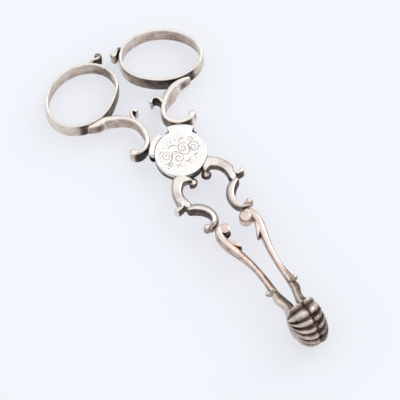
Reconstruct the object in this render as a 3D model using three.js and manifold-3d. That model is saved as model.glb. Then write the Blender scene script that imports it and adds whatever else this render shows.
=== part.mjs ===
// Sugar nips: two cast silver halves that cross at a lapped round hinge, with finger rings at
// one end and ribbed shell bowls at the other. Millimetres, +Z along the hinge axis, +Y towards
// the finger rings, origin at the centre of the hinge's back face.
import * as THREE from 'three';
import { mergeVertices } from 'three/addons/utils/BufferGeometryUtils.js';
import Module from 'manifold-3d';

const wasm = await Module();
wasm.setup();

// Gap left where two castings are soldered together
const solderGap = 0.25;
// Length that a cutting shape runs past what it cuts
const overrun = 1.0;

// Lapped hinge: each half has a round plate and, outside it, a full-thickness shoulder, whose
// ends are angles measured clockwise from +Y
const hinge = {
  radius: 7.75,
  plate: 1.6,
  play: 0.2,
  shoulderWidth: 1.85,
  seatClearance: 0.25,
  shoulderFrom: 9,
  shoulderTo: 58,
  mergeDepth: 0.5,
};
const hingeHeight = 2 * hinge.plate + hinge.play;
const shoulderRadius = hinge.radius + hinge.shoulderWidth;

// Rivet: blind in the front plate, headed flush with the back plate's outer face
const rivet = {
  radius: 1.2,
  headRadius: 2.2,
  headHeight: 0.6,
  blindCover: 0.6,
  clearance: 0.08,
};

// Finger rings: tall oval bands, bent by hand, so that the two differ a little. Angles in degrees;
// middleGap is left between a ring's wall and the middle of the nips, restAngle is how far from
// straight down the ring rests on its handle scroll, on a flat that fades over flatAngle, and
// spurAngle is where the ring's spur is soldered
const band = { halfHeight: 3.0, rim: 0.7, dome: 0.3, flatAngle: 34 };
// How far a ring's wall reaches past its oval
const ringWall = band.rim / 2 + band.dome;
const frontRing = {
  longRadius: 12.1,
  shortRadius: 8.75,
  tilt: -34,
  middleGap: 1.5,
  restAngle: 8,
  flat: 0.8,
  spurAngle: 123,
};
const backRing = {
  longRadius: 11.5,
  shortRadius: 9.5,
  tilt: -10,
  middleGap: 1.04,
  restAngle: 1,
  flat: 0.4,
  spurAngle: 128,
};

// Curved straps and bars: how far each goes across and along the nips, and its half section. A
// handle scroll spans what its ring needs, meets the shoulder at seatAngle, carries its ring and
// its thorn at ringStep and thornStep of its route, and has the tip of its leaf lifted a little. A
// ring's spur reaches to its own middleGap, and its tip droops away from the ring's top
const handle = { halfWidth: 0.68, halfHeight: 2.7 };
const frontHandle = {
  ...handle,
  along: 12.0,
  leafLift: 0.2,
  seatAngle: 34,
  ringStep: 0.57,
  thornStep: 5.05,
};
const backHandle = {
  ...handle,
  along: 15.4,
  leafLift: 1.1,
  seatAngle: 41,
  ringStep: 1.57,
  thornStep: 5.6,
};
const ringSpur = { along: 2.1, halfWidth: 0.45, halfHeight: 2.7 };
const frontRingSpur = { ...ringSpur, middleGap: 1.25, droop: 1.2 };
const backRingSpur = { ...ringSpur, middleGap: 0.46, droop: 0 };
const backThorn = { across: 2.5, along: 2.4, halfWidth: 0.62, halfHeight: 2.5 };
const frontThorn = { ...backThorn, across: 2.9 };
const armScroll = { across: 6.9, along: 7.4, halfWidth: 1.55, halfHeight: 1.7 };
const lowerScroll = { across: 4.45, along: 8.7, halfWidth: 0.95, halfHeight: 2.4 };
const armSpur = { across: 2.9, along: 0.9, halfWidth: 0.5, halfHeight: 2.1 };
const stem = { across: 3.05, along: 25.7, halfWidth: 1.32, halfHeight: 2.3 };
const leaf = { across: 1.45, along: 3.9, halfWidth: 0.42, halfHeight: 1.7 };
const knop = { across: 3.5, along: 0.3, halfWidth: 0.72, halfHeight: 1.75 };
const neck = { across: 1.0, along: 6.9, halfWidth: 1.5, halfHeight: 1.6 };

// Places: the arm's root beside the axis and under the hinge, the stem's head beside the lower
// scroll, the volute beside the stem's head, the leaf's root at a step of the stem's route and
// sunk a little towards it, the knop and the neck below the stem
const armRoot = { x: 1.75, gap: 0.25 };
const stemInset = 0.65;
const volutePlace = { across: 0.62, drop: 0.9 };
const leafPlace = { stemStep: 3.8, sink: 0.1 };
const knopDrop = 0.6;
const neckDrop = 2.0;

// Small round pieces
const ball = { radius: 1.25, halfHeight: 2.2, rise: 0.25 };
const volute = { radius: 1.6, halfHeight: 2.2 };

// Shell bowls: ribbed scallops, hollow towards each other; the ribs fan out from a crest that
// lies a little below the neck's end
const shell = {
  depth: 5.5,
  halfBreadth: 8.0,
  topLength: 6.9,
  tipLength: 7.35,
  crestDrop: 2.8,
  wall: 1.0,
  ribHeight: 0.55,
  closedGap: 0.3,
  neckSink: 1.2,
};
const ribCount = 11;
const fanHalfAngle = 90;

// Both arms lean to the -X side, the more the nearer the tips
const lean = { from: 30, span: 46, shift: 1.6 };

// How finely shapes are faceted
const discSides = 48;
const shoulderSteps = 14;
const ringSteps = 40;
const sectionSides = 8;
const roundSides = 32;
const capAngles = [78, 40];
const ribSteps = 4;
const hollowRibSteps = 2;
const searchRounds = 40;

// Roundness of sections: 2 is an ellipse, and the higher the power the squarer the section
const strapPower = 4;
const hookPower = 3;
const barPower = 2.6;
const knopPower = 2.4;
const bowlOutlinePower = 2.5;
const bowlTopPower = 3.2;
const bowlTipPower = 2.3;

const degrees = Math.PI / 180;

// Hand-chosen shares: a route as shares of a piece's own across and along, then shares of its
// half width and half height from one end to the other
const handleForm = {
  routeShares: [
    [1, 0.95], [0.82, 0.99], [0.63, 0.985], [0.46, 0.935], [0.3, 0.855], [0.165, 0.745],
    [0.06, 0.615], [0.008, 0.48], [0, 0.34], [0.03, 0.21], [0.11, 0.105], [0.22, 0.03],
    [0.35, 0], [0.45, 0.03], [0.505, 0.09],
  ],
  widthShares: [0.7, 0.9, 1.3, 1.32, 1.18, 1.05, 1, 1, 1, 1, 1, 1, 1, 1.2, 1.6],
  heightShares: [0.9, 1, 1, 1, 1, 1, 1, 1, 1, 1, 1, 1, 1, 0.95, 0.9],
  power: strapPower,
  steps: 26,
};
const handleSeatShares = [0.165, 0.065];
// Share of the scroll's half width that the ring keeps from the middle line of its leaf
const ringSeatShare = 0.66;

const ringSpurForm = {
  routeShares: [
    [0.12, -0.16], [0, 0], [-0.28, 0.12], [-0.58, 0.05], [-0.86, 0.14], [-1, 0.45], [-0.86, 0.8],
  ],
  widthShares: [1.4, 1.2, 1, 1.05, 1.25, 1.5, 1.6],
  heightShares: [1, 1, 1, 0.95, 0.92, 0.9, 0.9],
  power: strapPower,
  steps: 10,
};

const thornForm = {
  routeShares: [[0.15, -0.35], [0.06, 0], [-0.02, 0.5], [-0.3, 0.92], [-0.68, 1], [-1, 0.74]],
  widthShares: [1.3, 1.2, 1, 0.9, 0.95, 0.9],
  heightShares: [1, 1, 1, 0.97, 0.93, 0.88],
  power: hookPower,
  steps: 8,
};

const armForm = {
  routeShares: [
    [0.14, -0.32], [0.04, -0.33], [-0.01, -0.23], [0.08, -0.11], [0.27, 0], [0.5, 0.07],
    [0.75, -0.05], [0.92, -0.27], [1, -0.53], [0.99, -0.78], [0.93, -0.98],
  ],
  widthShares: [0.36, 0.32, 0.32, 0.38, 0.55, 0.9, 1.05, 1.03, 1.02, 0.98, 0.86],
  heightShares: [0.85, 0.85, 0.9, 0.95, 1, 1, 1, 1.02, 1.08, 1.18, 1.28],
  power: hookPower,
  steps: 22,
};

const lowerForm = {
  routeShares: [
    [0.98, 0], [0.68, -0.06], [0.35, -0.19], [0.1, -0.38], [0, -0.59], [0.06, -0.79],
    [0.26, -0.93], [0.55, -1],
  ],
  widthShares: [1.1, 1.4, 1.5, 1.38, 1.22, 1.12, 1.02, 0.86],
  heightShares: [0.95, 1, 1, 1, 1, 1, 1, 0.97],
  power: strapPower,
  steps: 18,
};
const lowestStep = 7;

const armSpurForm = {
  routeShares: [[-0.25, 0.35], [0.1, 0], [0.45, -0.2], [0.78, 0.1], [1, 0.75]],
  widthShares: [1.1, 1, 0.9, 0.9, 0.95],
  heightShares: [1, 1, 0.97, 0.93, 0.88],
  power: hookPower,
  steps: 7,
};
const armSpurRootShare = 0.6;

const stemForm = {
  routeShares: [
    [0.62, -0.01], [0.86, -0.03], [0.99, -0.075], [1, -0.14], [0.88, -0.22], [0.65, -0.32],
    [0.4, -0.44], [0.19, -0.56], [0.06, -0.7], [0, -0.84], [0, -1],
  ],
  widthShares: [0.82, 0.9, 0.94, 0.96, 1, 0.95, 0.83, 0.75, 0.72, 0.76, 0.84],
  heightShares: [0.95, 1, 1, 1, 1, 0.92, 0.8, 0.68, 0.62, 0.6, 0.64],
  power: barPower,
  steps: 24,
};

const leafForm = {
  routeShares: [[0, 0], [-0.3, -0.36], [-0.62, -0.7], [-1, -1]],
  widthShares: [0.9, 1.1, 1, 0.6],
  heightShares: [0.9, 1, 0.95, 0.75],
  power: hookPower,
  steps: 8,
};

const knopForm = {
  routeShares: [[-0.15, -0.45], [0.05, -0.2], [0.32, 0.15], [0.6, 0.6]],
  widthShares: [0.85, 1.05, 1.05, 1],
  heightShares: [0.92, 1, 0.97, 0.75],
  power: knopPower,
  steps: 8,
};

const neckForm = {
  routeShares: [[0, 0.02], [0.08, -0.16], [-0.45, -0.45], [-0.78, -0.74], [-0.2, -1]],
  widthShares: [0.95, 0.98, 0.86, 0.92, 1.2],
  heightShares: [0.9, 0.92, 0.9, 1.05, 1.4],
  power: barPower,
  steps: 12,
};

// Rings of points on a bowl as shares of the way from the crest to the rim
const bowlRingShares = [0.16, 0.38, 0.6, 0.79, 0.92, 0.985, 1];
const hollowRingShares = [0.2, 0.5, 0.75, 0.92, 1];
// Share of the way out over which the ribs rise to their full height
const ribRiseShare = 0.62;
// Corner of the band's domed outside: shares of its half height and of its dome
const bandCornerShares = { height: 0.55, dome: 0.75 };

// A route in lengths, from its start point and its span across and along
function route(size, form, start) {
  return form.routeShares.map(([x, y]) => (
    new THREE.Vector3(start.x + x * size.across, start.y + y * size.along, 0)
  ));
}

function smoothLine(points) {
  return new THREE.CatmullRomCurve3(points, false, 'centripetal');
}

// Point of a route at a step counted in its points, and the route's left-hand direction there
function pointOnRoute(points, step) {
  const curve = smoothLine(points);
  const share = step / (points.length - 1);
  const tangent = curve.getTangent(share);
  return { point: curve.getPoint(share), normal: new THREE.Vector3(-tangent.y, tangent.x, 0) };
}

// Geometry to solid and back, for joins and cuts
function solidOf(geometry) {
  const bare = geometry.clone();
  bare.deleteAttribute('normal');
  bare.deleteAttribute('uv');
  const merged = mergeVertices(bare);
  return new wasm.Manifold(new wasm.Mesh({
    numProp: 3,
    vertProperties: new Float32Array(merged.attributes.position.array),
    triVerts: new Uint32Array(merged.index.array),
  }));
}

function geometryOf(solid) {
  const mesh = solid.getMesh();
  const geometry = new THREE.BufferGeometry();
  geometry.setAttribute('position', new THREE.BufferAttribute(mesh.vertProperties, 3));
  geometry.setIndex(new THREE.BufferAttribute(mesh.triVerts, 1));
  return geometry;
}

// Closed body from rings of points, each joined to the next, the end rings closed round their middles
function bodyFromRings(rings, isLoop) {
  const sides = rings[0].length;
  const positions = rings.flat().flatMap((p) => [p.x, p.y, p.z]);
  const index = [];
  const joins = isLoop ? rings.length : rings.length - 1;
  for (let i = 0; i < joins; i += 1) {
    const a = i * sides;
    const b = ((i + 1) % rings.length) * sides;
    for (let j = 0; j < sides; j += 1) {
      const k = (j + 1) % sides;
      index.push(a + j, b + j, b + k, a + j, b + k, a + k);
    }
  }
  if (!isLoop) {
    const end = (rings.length - 1) * sides;
    const first = rings.length * sides;
    [rings[0], rings[rings.length - 1]].forEach((ring) => {
      const middle = new THREE.Vector3();
      ring.forEach((p) => middle.add(p));
      middle.divideScalar(sides);
      positions.push(middle.x, middle.y, middle.z);
    });
    for (let j = 0; j < sides; j += 1) {
      const k = (j + 1) % sides;
      index.push(first, j, k);
      index.push(first + 1, end + k, end + j);
    }
  }
  const geometry = new THREE.BufferGeometry();
  geometry.setAttribute('position', new THREE.Float32BufferAttribute(positions, 3));
  geometry.setIndex(index);
  return geometry;
}

// A form's shares of width and height from one end to the other
function shareLine(form) {
  const shares = form.widthShares.map((w, i) => new THREE.Vector3(w, form.heightShares[i], 0));
  return new THREE.CatmullRomCurve3(shares, false, 'catmullrom');
}

// Unit section of a strap: a box with rounded corners, the rounder the lower the power
function strapSection(power) {
  const section = [];
  for (let i = 0; i < sectionSides; i += 1) {
    const angle = -((i + 0.5) / sectionSides) * 2 * Math.PI;
    const c = Math.cos(angle);
    const s = Math.sin(angle);
    const u = Math.sign(c) * Math.abs(c) ** (2 / power);
    const v = Math.sign(s) * Math.abs(s) ** (2 / power);
    section.push([u, v]);
  }
  return section;
}

// Strap, bar or hook: a section carried along a flat route, with ends rounded in plan; grow makes
// it bigger all round
function swept(size, form, points, grow) {
  const curve = smoothLine(points);
  const shareCurve = shareLine(form);
  const section = strapSection(form.power);
  const rings = [];
  const addRing = (t, past, scale) => {
    const share = shareCurve.getPoint(t);
    const centre = curve.getPoint(t);
    const tangent = curve.getTangent(t);
    const halfWidth = size.halfWidth * share.x + grow;
    const halfHeight = size.halfHeight * share.y + grow;
    centre.addScaledVector(tangent, past * halfWidth);
    rings.push(section.map(([u, v]) => new THREE.Vector3(
      centre.x - tangent.y * u * halfWidth * scale,
      centre.y + tangent.x * u * halfWidth * scale,
      v * halfHeight * (1 + scale) / 2,
    )));
  };
  capAngles.forEach((angle) => {
    addRing(0, -Math.sin(angle * degrees), Math.cos(angle * degrees));
  });
  for (let i = 0; i <= form.steps; i += 1) {
    addRing(i / form.steps, 0, 1);
  }
  [...capAngles].reverse().forEach((angle) => {
    addRing(1, Math.sin(angle * degrees), Math.cos(angle * degrees));
  });
  return solidOf(bodyFromRings(rings, false));
}

// Upright round bar between two heights
function roundBar(radius, low, high, sides) {
  const geometry = new THREE.CylinderGeometry(radius, radius, high - low, sides);
  geometry.rotateX(Math.PI / 2);
  geometry.translate(0, 0, (low + high) / 2);
  return solidOf(geometry);
}

// Upright rounded button round a centre in the middle plane
function button(centre, size, grow) {
  const geometry = new THREE.SphereGeometry(1, sectionSides, sectionSides / 2);
  geometry.rotateX(Math.PI / 2);
  geometry.scale(size.radius + grow, size.radius + grow, size.halfHeight + grow);
  geometry.translate(centre.x, centre.y, 0);
  return solidOf(geometry);
}

// The shoulder's part of an upright ring wall
function shoulderWall(inner, outer, low, high) {
  const from = Math.PI / 2 - hinge.shoulderTo * degrees;
  const to = Math.PI / 2 - hinge.shoulderFrom * degrees;
  const shape = new THREE.Shape();
  shape.absarc(0, 0, outer, from, to, false);
  shape.absarc(0, 0, inner, to, from, true);
  shape.closePath();
  const options = { depth: high - low, bevelEnabled: false, curveSegments: shoulderSteps };
  const geometry = new THREE.ExtrudeGeometry(shape, options);
  geometry.translate(0, 0, low);
  return solidOf(geometry);
}

// Hinge plate over the middle plane with its shoulder on the +X side
function hingePlate(isFront) {
  const top = hingeHeight / 2;
  const low = hinge.play / 2;
  const joined = shoulderWall(hinge.radius - hinge.mergeDepth, shoulderRadius, low, top);
  const full = shoulderWall(hinge.radius + hinge.seatClearance, shoulderRadius, -top, top);
  const solid = roundBar(hinge.radius, low, top, discSides).add(joined).add(full);
  const boreRadius = rivet.radius + rivet.clearance;
  if (isFront) {
    const blindBore = roundBar(boreRadius, -overrun, top - rivet.blindCover, roundSides);
    return geometryOf(solid.subtract(blindBore));
  }
  const headFloor = top - rivet.headHeight - rivet.clearance;
  const bore = roundBar(boreRadius, -overrun, top + overrun, roundSides);
  const headBore = roundBar(rivet.headRadius + rivet.clearance, headFloor, top + overrun, roundSides);
  return geometryOf(solid.subtract(bore).subtract(headBore));
}

// Rivet: shank from the blind hole through both plates to a flush head at the back
function rivetBody() {
  const back = -hingeHeight / 2;
  const tip = hingeHeight / 2 - rivet.blindCover - rivet.clearance;
  const profile = [
    new THREE.Vector2(0, back),
    new THREE.Vector2(rivet.headRadius, back),
    new THREE.Vector2(rivet.headRadius, back + rivet.headHeight),
    new THREE.Vector2(rivet.radius, back + rivet.headHeight),
    new THREE.Vector2(rivet.radius, tip),
    new THREE.Vector2(0, tip),
  ];
  const geometry = new THREE.LatheGeometry(profile, roundSides);
  geometry.rotateX(Math.PI / 2);
  return geometry;
}

// Point of a ring's oval that lies farthest along a direction, from the ring's centre
function ovalReach(ring, direction) {
  const c = Math.cos(ring.tilt * degrees);
  const s = Math.sin(ring.tilt * degrees);
  const along = direction.x * c + direction.y * s;
  const across = -direction.x * s + direction.y * c;
  const length = Math.hypot(ring.longRadius * along, ring.shortRadius * across);
  const a = ring.longRadius ** 2 * along / length;
  const b = ring.shortRadius ** 2 * across / length;
  return new THREE.Vector3(a * c - b * s, a * s + b * c, 0);
}

// Band section, inside wall first: flat rims and inside, outside slightly domed
function bandSection(grow) {
  const half = band.rim / 2 + grow;
  const high = band.halfHeight + grow;
  const cornerHeight = band.halfHeight * bandCornerShares.height;
  const cornerDepth = half + band.dome * bandCornerShares.dome;
  return [
    [-half, -high], [half, -high], [cornerDepth, -cornerHeight], [half + band.dome, 0],
    [cornerDepth, cornerHeight], [half, high], [-half, high],
  ];
}

// Oval finger ring round its centre, flattened a little where the handle scroll is soldered on
function fingerRing(ring, centre, seatDirection, grow) {
  const c = Math.cos(ring.tilt * degrees);
  const s = Math.sin(ring.tilt * degrees);
  const section = bandSection(grow);
  const rings = [];
  for (let i = 0; i < ringSteps; i += 1) {
    const angle = (i / ringSteps) * 2 * Math.PI;
    const a = ring.longRadius * Math.cos(angle);
    const b = ring.shortRadius * Math.sin(angle);
    const out = new THREE.Vector2(a / ring.longRadius ** 2, b / ring.shortRadius ** 2).normalize();
    const outX = out.x * c - out.y * s;
    const outY = out.x * s + out.y * c;
    const facing = outX * seatDirection.x + outY * seatDirection.y;
    const away = Math.acos(THREE.MathUtils.clamp(facing, -1, 1)) / (band.flatAngle * degrees);
    const dent = ring.flat * Math.exp(-(away ** 2));
    rings.push(section.map(([u, z]) => {
      const x = a + out.x * (u - dent);
      const y = b + out.y * (u - dent);
      return new THREE.Vector3(centre.x + x * c - y * s, centre.y + x * s + y * c, z);
    }));
  }
  return bodyFromRings(rings, true);
}

// Handle scroll's route, seated on the shoulder's outer face
function handleRoute(size) {
  const reach = shoulderRadius + solderGap + size.halfWidth;
  const angle = size.seatAngle * degrees;
  const start = new THREE.Vector3(
    reach * Math.sin(angle) - handleSeatShares[0] * size.across,
    reach * Math.cos(angle) - handleSeatShares[1] * size.along,
    0,
  );
  const points = route(size, handleForm, start);
  points[0].y += size.leafLift;
  return points;
}

// Centre of a ring that rests on its handle scroll, and the way from it to the scroll
function ringPlace(ring, size) {
  const seat = pointOnRoute(handleRoute(size), size.ringStep);
  const angle = ring.restAngle * degrees;
  const down = new THREE.Vector3(-Math.sin(angle), -Math.cos(angle), 0);
  const gap = size.halfWidth * ringSeatShare + ringWall + solderGap - ring.flat;
  const centre = seat.point.clone().addScaledVector(down, -gap).sub(ovalReach(ring, down));
  return { centre, down };
}

// A handle scroll with its span across, found by halving, that leaves its ring's gap to the middle
function scrollFor(ring, size) {
  const ringLeft = ovalReach(ring, new THREE.Vector3(-1, 0, 0)).x - ringWall;
  let near = 0;
  let far = 2 * ring.longRadius;
  for (let i = 0; i < searchRounds; i += 1) {
    const middle = (near + far) / 2;
    if (ringPlace(ring, { ...size, across: middle }).centre.x + ringLeft < ring.middleGap) {
      near = middle;
    } else {
      far = middle;
    }
  }
  return { ...size, across: near };
}

// The handle side of one half, drawn on the +X side
function handleSide(ring, handleSize, spurSize, thornSize) {
  const size = scrollFor(ring, handleSize);
  const points = handleRoute(size);
  const { centre, down } = ringPlace(ring, size);
  const grownRing = solidOf(fingerRing(ring, centre, down, solderGap));
  const shoulderCut = roundBar(
    shoulderRadius + solderGap,
    -size.halfHeight - overrun,
    size.halfHeight + overrun,
    discSides,
  );
  const scroll = swept(size, handleForm, points, 0).subtract(grownRing).subtract(shoulderCut);

  const spurAngle = ring.spurAngle * degrees;
  const outward = new THREE.Vector3(Math.cos(spurAngle), Math.sin(spurAngle), 0);
  const spurStart = centre.clone().add(ovalReach(ring, outward));
  spurStart.addScaledVector(outward, ringWall + solderGap);
  const tipReach = spurSize.halfWidth * Math.max(...ringSpurForm.widthShares);
  const spurAcross = spurStart.x - tipReach - spurSize.middleGap;
  const spurPoints = route({ ...spurSize, across: spurAcross }, ringSpurForm, spurStart);
  spurPoints.forEach((point, i) => {
    point.y += ringSpurForm.routeShares[i][0] * spurSize.droop;
  });
  const spur = swept(spurSize, ringSpurForm, spurPoints, 0).subtract(grownRing);

  const thornSeat = pointOnRoute(points, size.thornStep);
  const inward = thornSeat.normal.x < 0 ? thornSeat.normal : thornSeat.normal.clone().negate();
  const thornStart = thornSeat.point.clone().addScaledVector(inward, size.halfWidth + solderGap);
  const hook = swept(thornSize, thornForm, route(thornSize, thornForm, thornStart), 0);

  return {
    finger_ring: fingerRing(ring, centre, down, 0),
    ring_spur: geometryOf(spur),
    handle_scroll: geometryOf(scroll),
    handle_thorn: geometryOf(hook.subtract(swept(size, handleForm, points, solderGap))),
  };
}

// How far a place lies from a bowl's middle towards its rim: 1 on the rim
function bowlSpread(y, z, inset) {
  const length = (y > 0 ? shell.topLength : shell.tipLength) - inset;
  const breadth = shell.halfBreadth - inset;
  const power = bowlOutlinePower;
  return (Math.abs(y / length) ** power + Math.abs(z / breadth) ** power) ** (1 / power);
}

// Place on a bowl by its fan angle round the crest and its share of the way out to the rim;
// the rim's distance from the crest is found by halving
function bowlPoint(fan, out, inset, ribHeight) {
  const crestY = shell.topLength - shell.crestDrop;
  let near = 0;
  let far = shell.topLength + shell.tipLength;
  for (let i = 0; i < searchRounds; i += 1) {
    const middle = (near + far) / 2;
    if (bowlSpread(crestY - Math.cos(fan) * middle, Math.sin(fan) * middle, inset) < 1) {
      near = middle;
    } else {
      far = middle;
    }
  }
  const y = crestY - Math.cos(fan) * near * out;
  const z = Math.sin(fan) * near * out;
  const halfFan = fanHalfAngle * degrees;
  const crown = Math.abs(fan) > halfFan ? 0 : Math.abs(Math.cos((fan / halfFan) * ribCount * Math.PI / 2));
  const rise = Math.sin(Math.min(1, out / ribRiseShare) * Math.PI / 2);
  const rib = 1 - (1 - crown) * rise * ribHeight / shell.depth;
  const power = y > 0 ? bowlTopPower : bowlTipPower;
  const dome = Math.max(0, 1 - bowlSpread(y, z, inset) ** power) ** (1 / power);
  return new THREE.Vector3((shell.depth - inset) * dome * rib, y * rib, z * rib);
}

// Solid bowl round its crest, shrunk by an inset, with its open face at faceX
function bowlSolid(middleY, inset, ribHeight, steps, ringShares, faceX) {
  const halfFan = fanHalfAngle * degrees;
  const fanSteps = ribCount * steps;
  const backSteps = 2 * steps;
  const fans = [];
  for (let i = 0; i < fanSteps; i += 1) {
    fans.push(halfFan - (2 * halfFan * i) / fanSteps);
  }
  for (let i = 0; i < backSteps; i += 1) {
    fans.push(-halfFan - ((2 * Math.PI - 2 * halfFan) * i) / backSteps);
  }
  const rings = ringShares.map((share) => fans.map((fan) => {
    const turn = fan < -Math.PI ? fan + 2 * Math.PI : fan;
    const point = bowlPoint(turn, share, inset, ribHeight);
    point.x = share === 1 ? faceX : Math.max(point.x, faceX + solderGap * (1 - share));
    point.y += middleY;
    return point;
  }));
  return solidOf(bodyFromRings(rings, false));
}

// The arm side of one half, drawn on the +X side: each piece is cut back from the ones before it
function armSide() {
  const armStart = new THREE.Vector3(armRoot.x, -hinge.radius - armRoot.gap, 0);
  const armPoints = route(armScroll, armForm, armStart);
  const armEnd = armPoints[armPoints.length - 1];
  const discRadius = hinge.radius + hinge.seatClearance;
  const discCut = roundBar(discRadius, -hingeHeight, hingeHeight, discSides);
  const grownArm = swept(armScroll, armForm, armPoints, solderGap);

  const cutDrop = armScroll.halfWidth * armForm.widthShares[armPoints.length - 1] + solderGap;
  const lowerStart = new THREE.Vector3(armEnd.x - lowerScroll.across, armEnd.y - cutDrop, 0);
  const lowerPoints = route(lowerScroll, lowerForm, lowerStart);
  const lowerEnd = lowerPoints[lowerPoints.length - 1];
  const grownLower = swept(lowerScroll, lowerForm, lowerPoints, solderGap);

  const spurX = armEnd.x + armScroll.halfWidth * armSpurRootShare;
  const spurPoints = route(armSpur, armSpurForm, new THREE.Vector3(spurX, armEnd.y, 0));
  const ballCentre = new THREE.Vector3(lowerEnd.x + ball.radius, lowerEnd.y + ball.rise, 0);

  const lowest = lowerPoints[lowestStep].y - lowerScroll.halfWidth * lowerForm.widthShares[lowestStep];
  const headY = lowest - solderGap - stem.halfWidth * stemForm.widthShares[0];
  const headX = lowerStart.x - stemInset;
  const stemPoints = route(stem, stemForm, new THREE.Vector3(headX, headY, 0));
  const stemEnd = stemPoints[stemPoints.length - 1];
  const volutePoint = new THREE.Vector3(headX + volutePlace.across, headY - volutePlace.drop, 0);
  const leafSeat = pointOnRoute(stemPoints, leafPlace.stemStep);
  const stemWidthShare = shareLine(stemForm).getPoint(leafPlace.stemStep / (stemPoints.length - 1)).x;
  const leafAside = stem.halfWidth * stemWidthShare + solderGap - leafPlace.sink;
  const leafStart = leafSeat.point.clone().addScaledVector(leafSeat.normal, -leafAside);
  const knopPoints = route(knop, knopForm, new THREE.Vector3(stemEnd.x, stemEnd.y - knopDrop, 0));
  const grownKnop = swept(knop, knopForm, knopPoints, solderGap);
  const bar = swept(stem, stemForm, stemPoints, 0).subtract(grownLower).subtract(grownKnop);
  const twig = swept(armSpur, armSpurForm, spurPoints, 0).subtract(grownArm).subtract(grownLower);
  const leafBody = swept(leaf, leafForm, route(leaf, leafForm, leafStart), 0);

  const neckPoints = route(neck, neckForm, new THREE.Vector3(stemEnd.x, stemEnd.y - neckDrop, 0));
  const neckEnd = neckPoints[neckPoints.length - 1];
  const middleY = neckEnd.y - shell.topLength + shell.neckSink;
  const faceX = shell.closedGap / 2;
  const outside = bowlSolid(middleY, 0, shell.ribHeight, ribSteps, bowlRingShares, faceX);
  const hollow = bowlSolid(middleY, shell.wall, 0, hollowRibSteps, hollowRingShares, faceX - overrun);
  const neckBody = swept(neck, neckForm, neckPoints, 0);

  return {
    arm_scroll: geometryOf(swept(armScroll, armForm, armPoints, 0).subtract(discCut)),
    lower_scroll: geometryOf(swept(lowerScroll, lowerForm, lowerPoints, 0).subtract(grownArm)),
    arm_spur: geometryOf(twig),
    scroll_ball: geometryOf(button(ballCentre, ball, 0).subtract(grownLower)),
    stem_volute: geometryOf(button(volutePoint, volute, 0).subtract(grownLower)),
    stem: geometryOf(bar.subtract(button(volutePoint, volute, solderGap))),
    stem_leaf: geometryOf(leafBody.subtract(swept(stem, stemForm, stemPoints, solderGap))),
    knop: geometryOf(swept(knop, knopForm, knopPoints, 0)),
    shell_bowl: geometryOf(outside.add(neckBody).subtract(grownKnop).subtract(hollow)),
  };
}

// A piece shifted sideways by the arms' lean; side is 1 on the back half and -1 on the front half
function leaned(geometry, side) {
  const moved = geometry.clone();
  const { position } = moved.attributes;
  for (let i = 0; i < position.count; i += 1) {
    const past = Math.max(0, -position.getY(i) - lean.from) / lean.span;
    position.setX(i, position.getX(i) - side * lean.shift * past ** 2);
  }
  return moved;
}

const nips = new THREE.Group();
const silver = { color: 0xd6d0c6, roughness: 0.32, metalness: 1 };
function addPiece(name, geometry, isTurned) {
  const mesh = new THREE.Mesh(geometry, new THREE.MeshStandardMaterial(silver));
  mesh.name = name;
  mesh.rotation.y = isTurned ? Math.PI : 0;
  nips.add(mesh);
}

const frontHandleSide = handleSide(frontRing, frontHandle, frontRingSpur, frontThorn);
const backHandleSide = handleSide(backRing, backHandle, backRingSpur, backThorn);
Object.entries(frontHandleSide).forEach(([name, geometry]) => {
  addPiece(`front_${name}`, geometry, false);
});
Object.entries(backHandleSide).forEach(([name, geometry]) => {
  addPiece(`back_${name}`, geometry, true);
});
addPiece('front_hinge_plate', hingePlate(true), false);
addPiece('back_hinge_plate', hingePlate(false), true);
addPiece('hinge_rivet', rivetBody(), false);
Object.entries(armSide()).forEach(([name, geometry]) => {
  addPiece(`front_${name}`, leaned(geometry, -1), true);
  addPiece(`back_${name}`, leaned(geometry, 1), false);
});
nips.position.z = hingeHeight / 2;

export default nips;
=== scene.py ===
# Antique silver sugar nips lying closed on a pale table, seen from above
import math

import bpy
import numpy as np
from mathutils import Matrix, Vector


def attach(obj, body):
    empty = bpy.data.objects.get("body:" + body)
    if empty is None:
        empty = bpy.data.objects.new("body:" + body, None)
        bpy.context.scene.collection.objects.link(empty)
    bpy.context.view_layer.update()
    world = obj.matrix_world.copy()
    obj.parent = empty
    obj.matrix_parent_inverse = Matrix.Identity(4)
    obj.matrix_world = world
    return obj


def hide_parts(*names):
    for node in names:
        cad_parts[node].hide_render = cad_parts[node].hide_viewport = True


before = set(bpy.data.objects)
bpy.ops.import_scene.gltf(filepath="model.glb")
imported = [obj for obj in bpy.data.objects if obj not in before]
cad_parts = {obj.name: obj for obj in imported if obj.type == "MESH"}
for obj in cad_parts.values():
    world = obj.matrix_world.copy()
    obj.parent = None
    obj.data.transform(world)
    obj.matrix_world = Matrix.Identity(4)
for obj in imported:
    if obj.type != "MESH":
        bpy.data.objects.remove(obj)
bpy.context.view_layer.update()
mm = 0.001   # everything below is worked out in millimetres

# Sizes that several pieces share; each shoulder runs clockwise from one angle to another
hinge = dict(
    radius=7.75, plate=1.6, play=0.2, shoulderWidth=1.85, frontFrom=9, frontTo=58, backFrom=4, backTo=64)
hingeTop = hinge["plate"] + hinge["play"] / 2   # above and below the middle plane
shoulderRadius = hinge["radius"] + hinge["shoulderWidth"]
solderGap = 0.25
lean = dict(start=30, span=46, shift=1.6)       # both arms lean to one side towards the tips
tiny = 1e-4                                     # step along a route over which its direction is taken
slotOf = dict(
    finger_ring="ring_band", handle_scroll="handle_silver", ring_spur="cast_trim", handle_thorn="cast_trim",
    hinge_plate="hinge_silver", rivet="hinge_silver", arm_scroll="arm_silver", lower_scroll="arm_silver",
    arm_spur="cast_trim", scroll_ball="cast_trim", stem="stem_silver", stem_volute="stem_silver",
    stem_leaf="stem_silver", knop="cast_trim", shell_bowl="shell_silver")


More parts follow.
